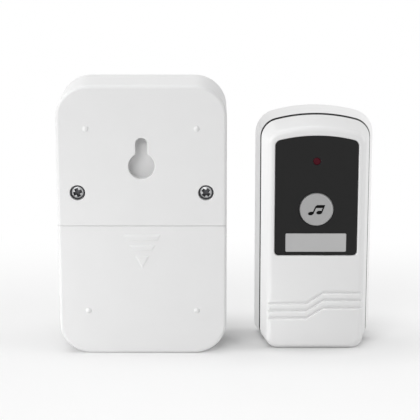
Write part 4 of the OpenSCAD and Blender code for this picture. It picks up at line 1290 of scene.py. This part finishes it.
    def button(self) -> None:
        """Builds the round bell button with its rounded edge and the rim that keeps it in."""
        face, r, rim = self.button_face, self.button_r, self.button_r + self.button_rim
        near, far = self.button_rim_y
        edge = [(r - inset, face + drop) for drop, inset in round_edge(self.button_edge, 6)]
        profile = [(0, face), (r / 2, face), *edge, (r, near), (rim, near), (rim, far), (0, far)]
        button = Sculpt().turn(Along.Y, 0, self.button_z, profile, 72).thing("bell_disc")
        self.dress(button, [Stock.BUTTON_ABS], "bell_button", "button_grey", ["bell_button"])

    def note_sign(self) -> None:
        """Builds the pair of joined notes that is printed on the button."""
        shapes = []
        for place, (wide, tall) in self.note_heads:
            oval = [(wide * u, tall * v) for u, v in circle(0, 0, 1, 32)]
            shapes.append(turned(oval, *place, self.note_lean))
        near, far = (self.button_face + y for y in self.note_y)
        parts = []
        for shape in (*shapes, *self.note_bars):
            parts.append(prism([(x, self.button_z + z) for x, z in shape], near, far))
        sign = parts[0].thing("note_sign")
        change(sign, Change.ADD, *parts[1:])
        self.dress(sign, [Stock.SCREEN_INK], "bell_button", "panel_black", [])

    def lamp(self) -> None:
        """Builds the lamp's lens: a low dome on a short barrel."""
        r, rim, top = self.lamp_r, self.lamp_r + self.lamp_rim, self.panel_sink
        near, far = self.lamp_rim_y
        turns = [math.pi / 2 * k / 8 for k in range(1, 9)]
        dome = [(r * math.sin(a), top + self.lamp_dome * (1 - math.cos(a))) for a in turns]
        profile = [(0, top), *dome, (r, near), (rim, near), (rim, far), (0, far)]
        lamp = Sculpt().turn(Along.Y, 0, self.lamp_z, profile, 32).thing("lamp_lens")
        self.dress(lamp, [Stock.LAMP_EPOXY], "push_front", "lamp_red", ["push_led"])

    def name_plate(self) -> None:
        """Builds the bare silver name plate with its broken edges."""
        near, far = self.name_y
        steps = [(near + drop, -inset) for drop, inset in round_edge(self.name_edge, 3)] + [(far, 0.0)]
        levels = [(y, self.name_outline(grow)) for y, grow in steps]
        plate = Sculpt().loft(Along.Y, levels).thing("silver_plate")
        self.dress(plate, [Stock.BRUSHED_PLATE], "push_front", "name_silver", ["name_plate"])

    def cell(self) -> None:
        """Builds the small upright cell of the push."""
        made = Sculpt()
        SMALL_CELL.add(made, Along.Z, (0, self.cell_y), self.cell_z)
        self.dress(made.thing("small_cell"), CELL_STOCKS, "push_front", "cell_jacket", ["push_battery"])

    def spring(self) -> None:
        """Builds the tapered spring under the small cell."""
        made = Sculpt().coil(Along.Z, (0, self.cell_y, self.spring_z), self.spring_length)
        spring = made.thing("cell_spring")
        self.dress(spring, [Stock.NICKEL_STEEL], "push_front", "contact_steel", ["push_contact_spring"])

    def build(self) -> None:
        """Builds every piece of the push."""
        self.front_housing()
        self.wall_base()
        self.seal_ring()
        self.front_panel()
        self.button()
        self.note_sign()
        self.lamp()
        self.name_plate()
        self.cell()
        self.spring()


@dataclass(frozen=True)
class InnerParts:
    """The frame's own nodes that stay in sight inside the casings, by their materials."""

    table: tuple[tuple[Stock, tuple[str, ...]], ...] = (
        (Stock.BOARD, ("chime_board", "radio_module", "push_board")),
        (Stock.ZINC_STEEL, ("board_screws", "speaker_screws", "push_board_screws")),
        (Stock.NICKEL_STEEL, ("contact_plates", "push_contacts", "resonator", "speaker_basket")),
        (Stock.CHIP_EPOXY, ("sound_chip", "chime_capacitor", "tune_switch", "tune_plunger")),
        (Stock.CHIP_EPOXY, ("bell_switch", "bell_plunger", "encoder_chip")),
        (Stock.COPPER, ("antenna_coil",)),
        (Stock.FERRITE, ("speaker_magnet",)),
        (Stock.CONE_PAPER, ("speaker_cone",)),
        (Stock.FOAM, ("speaker_gasket",)),
        (Stock.LEAD_RED, ("speaker_leads",)),
        (Stock.LEAD_BLACK, ("battery_leads",)),
    )

    def dress(self, nodes: dict[str, Thing]) -> None:
        """Gives each node its material.

        Args:
            nodes: The frame's nodes by name.
        """
        for stock, names in self.table:
            for name in names:
                nodes[name].data.materials.clear()
                nodes[name].data.materials.append(stock.material())
                LOG.info("%s: %s", name, stock.value.name)


@dataclass(frozen=True)
class Lamp:
    """A soft box: its place, width and power, the pieces it lights alone or spares, and its shadows."""

    name: str
    place: Point
    size: float
    watts: float
    only: tuple[str, ...] = ()
    spared: tuple[str, ...] = ()
    shadows: bool = True

    def build(self, target: Point) -> None:
        """Hangs the soft box and aims it.

        Args:
            target: Point that it faces, in metres.
        """
        data = bpy.data.lights.new(self.name, "AREA")
        data.shape = "SQUARE"
        data.size = self.size
        data.energy = self.watts
        data.use_shadow = self.shadows
        made = bpy.data.objects.new(self.name, data)
        made.location = self.place
        made.rotation_euler = (Vector(target) - Vector(self.place)).to_track_quat("-Z", "Y").to_euler()
        made.visible_camera = False
        bpy.context.scene.collection.objects.link(made)
        if self.only or self.spared:
            linked = bpy.data.collections.new(self.name)
            made.light_linking.receiver_collection = linked
            for name in self.only or self.spared:
                linked.objects.link(bpy.data.objects[name])
            for entry in linked.collection_objects:
                entry.light_linking.link_state = "INCLUDE" if self.only else "EXCLUDE"


CHIME_CASING = ("rear_shell", "slide_door", "front_shell", "pan_screws")
PUSH_SHELL = ("push_front_shell",)


@dataclass(frozen=True)
class FloorShade:
    """A soft oval of shade on the floor: its middle, its reach, where it fades, and its colour."""

    middle: Flat
    reach: Flat
    ends: Flat
    colour: str

    def away(self, tree: Tree, place: Socket) -> Socket:
        """Measures the distance from the oval's middle.

        Args:
            tree: The node tree.
            place: Coordinates on the floor.

        Returns:
            The distance in shares of the oval's reach.
        """
        scale = (1 / self.reach[0], 1 / self.reach[1], 0)
        shift = (-self.middle[0] * scale[0], -self.middle[1] * scale[1], 0)
        oval = add_node(tree, "ShaderNodeMapping", {"Vector": place, "Scale": scale, "Location": shift})
        feeds = {0: oval.outputs["Vector"]}
        return add_node(tree, "ShaderNodeVectorMath", feeds, operation="LENGTH").outputs["Value"]


@dataclass(frozen=True)
class Studio:
    """Pale floor, soft boxes, white surroundings and the camera."""

    camera_place: Point = (-0.0026, -0.6746, 0.2299)
    camera_tilt: float = 75.61
    lens: float = 145.7
    sensor: float = 36.0
    target: Point = (0.0, 0.0, 0.05)
    white: tuple[float, float, float, float] = (1.0, 1.0, 1.0, 1.0)
    ambient: float = 0.41
    floor_colour: str = "#f4f4f4"
    floor_half: float = 3.0
    shades: tuple[FloorShade, ...] = (
        FloorShade((0.02, 0.003), (0.045, 0.015), (0.7, 1.2), "#e6e6e6"),
        FloorShade((0.0404, -0.005), (0.028, 0.015), (0.1, 1.0), "#dcdcdc"),
    )
    white_fades: tuple[Flat, ...] = ((1.0, 3.0), (3.0, 11.0))
    lamps: tuple[Lamp, ...] = (
        Lamp("key_box", (-0.4, -0.95, 0.6), 0.5, 4.0),
        Lamp("fill_box", (0.9, -0.15, 0.35), 0.6, 3.8, spared=CHIME_CASING),
        Lamp("top_box", (-0.2, 0.1, 1.3), 0.9, 5.4),
        Lamp("chime_rim", (-0.9, -0.12, 0.5), 0.3, 2.65, only=CHIME_CASING),
        Lamp("chime_low", (-0.13, -0.1, 0.01), 0.03, 0.034, only=CHIME_CASING),
        Lamp("push_rim", (-0.2, -0.05, 0.14), 0.15, 0.47, only=PUSH_SHELL, shadows=False),
        Lamp("base_rim", (-0.2, -0.05, 0.14), 0.15, 0.12, only=("wall_base",), shadows=False),
        Lamp("push_low", (0.0, -0.06, 0.0), 0.02, 0.0065, only=PUSH_SHELL, shadows=False),
    )

    def camera(self) -> None:
        """Places the camera where the photograph was taken from."""
        data = bpy.data.cameras.new("camera")
        data.lens = self.lens
        data.sensor_width = self.sensor
        made = bpy.data.objects.new("camera", data)
        made.location = self.camera_place
        made.rotation_euler = (math.radians(self.camera_tilt), 0, 0)
        bpy.context.scene.collection.objects.link(made)
        bpy.context.scene.camera = made

    def in_sight(self, tree: Tree) -> Socket:
        """Tells rays that show the background, straight or in gloss or glass, from rays of light.

        Args:
            tree: The node tree.

        Returns:
            1 for rays that show it, and otherwise 0.
        """
        path = add_node(tree, "ShaderNodeLightPath").outputs
        feeds = {0: path["Is Camera Ray"], 1: path["Is Glossy Ray"]}
        two = add_node(tree, "ShaderNodeMath", feeds, operation="MAXIMUM").outputs["Value"]
        feeds = {0: two, 1: path["Is Transmission Ray"]}
        return add_node(tree, "ShaderNodeMath", feeds, operation="MAXIMUM").outputs["Value"]

    def surroundings(self) -> None:
        """Makes white surroundings that light the set only softly."""
        world = bpy.data.worlds.new("studio")
        tree = blank_tree(world)
        light = add_node(tree, "ShaderNodeBackground", {"Color": self.white, "Strength": self.ambient})
        shown = add_node(tree, "ShaderNodeBackground", {"Color": self.white, "Strength": 1.0})
        feeds = {0: self.in_sight(tree), 1: light.outputs[0], 2: shown.outputs[0]}
        mix = add_node(tree, "ShaderNodeMixShader", feeds)
        add_node(tree, "ShaderNodeOutputWorld", {"Surface": mix.outputs[0]})
        bpy.context.scene.world = world

    def fade(self, tree: Tree, far: Socket, ends: Flat) -> Socket:
        """Rises softly from 0 to 1 between two distances."""
        feeds = {"Value": far, "From Min": ends[0], "From Max": ends[1]}
        return add_node(tree, "ShaderNodeMapRange", feeds, interpolation_type="SMOOTHSTEP").outputs["Result"]

    def floor(self) -> None:
        """Lays the floor, which keeps the shadows near the set and is white farther off."""
        made, reach = Sculpt(), self.floor_half
        made.cap(made.ring([(x, y, 0.0) for x, y in rectangle(-reach, reach, -reach, reach)]))
        floor = made.thing("floor")
        material = bpy.data.materials.new("paper_sweep_white")
        tree = blank_tree(material)
        place = add_node(tree, "ShaderNodeTexCoord").outputs["Object"]
        ovals = [shade.away(tree, place) for shade in self.shades]
        colour = linear(self.floor_colour)
        for shade, far in zip(self.shades, ovals):
            feeds = {0: self.fade(tree, far, shade.ends), 6: linear(shade.colour), 7: colour}
            colour = add_node(tree, "ShaderNodeMix", feeds, data_type="RGBA").outputs[2]
        near, wide = (self.fade(tree, ovals[0], ends) for ends in self.white_fades)
        share = add_node(tree, "ShaderNodeMath", {0: near, 1: wide}, operation="ADD").outputs["Value"]
        half = add_node(tree, "ShaderNodeMath", {0: share, 1: 0.5}, operation="MULTIPLY").outputs["Value"]
        white = add_node(tree, "ShaderNodeMath", {0: half, 1: self.in_sight(tree)}, operation="MULTIPLY")
        paper = add_node(tree, "ShaderNodeBsdfDiffuse", {"Color": colour})
        glow = add_node(tree, "ShaderNodeEmission", {"Color": self.white, "Strength": 1.0})
        feeds = {0: white.outputs["Value"], 1: paper.outputs[0], 2: glow.outputs[0]}
        mix = add_node(tree, "ShaderNodeMixShader", feeds)
        add_node(tree, "ShaderNodeOutputMaterial", {"Surface": mix.outputs[0]})
        floor.data.materials.append(material)

    def build(self) -> None:
        """Sets up the whole studio."""
        bpy.context.scene.view_settings.view_transform = "Standard"
        self.camera()
        self.surroundings()
        self.floor()
        for lamp in self.lamps:
            lamp.build(self.target)


def main() -> None:
    """Loads the frame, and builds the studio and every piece."""
    logging.basicConfig(level=logging.INFO, format="%(name)s: %(message)s")
    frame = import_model()
    Chime().build()
    Push().build()
    Studio().build()
    InnerParts().dress(frame["nodes"])


if __name__ == "__main__":
    main()
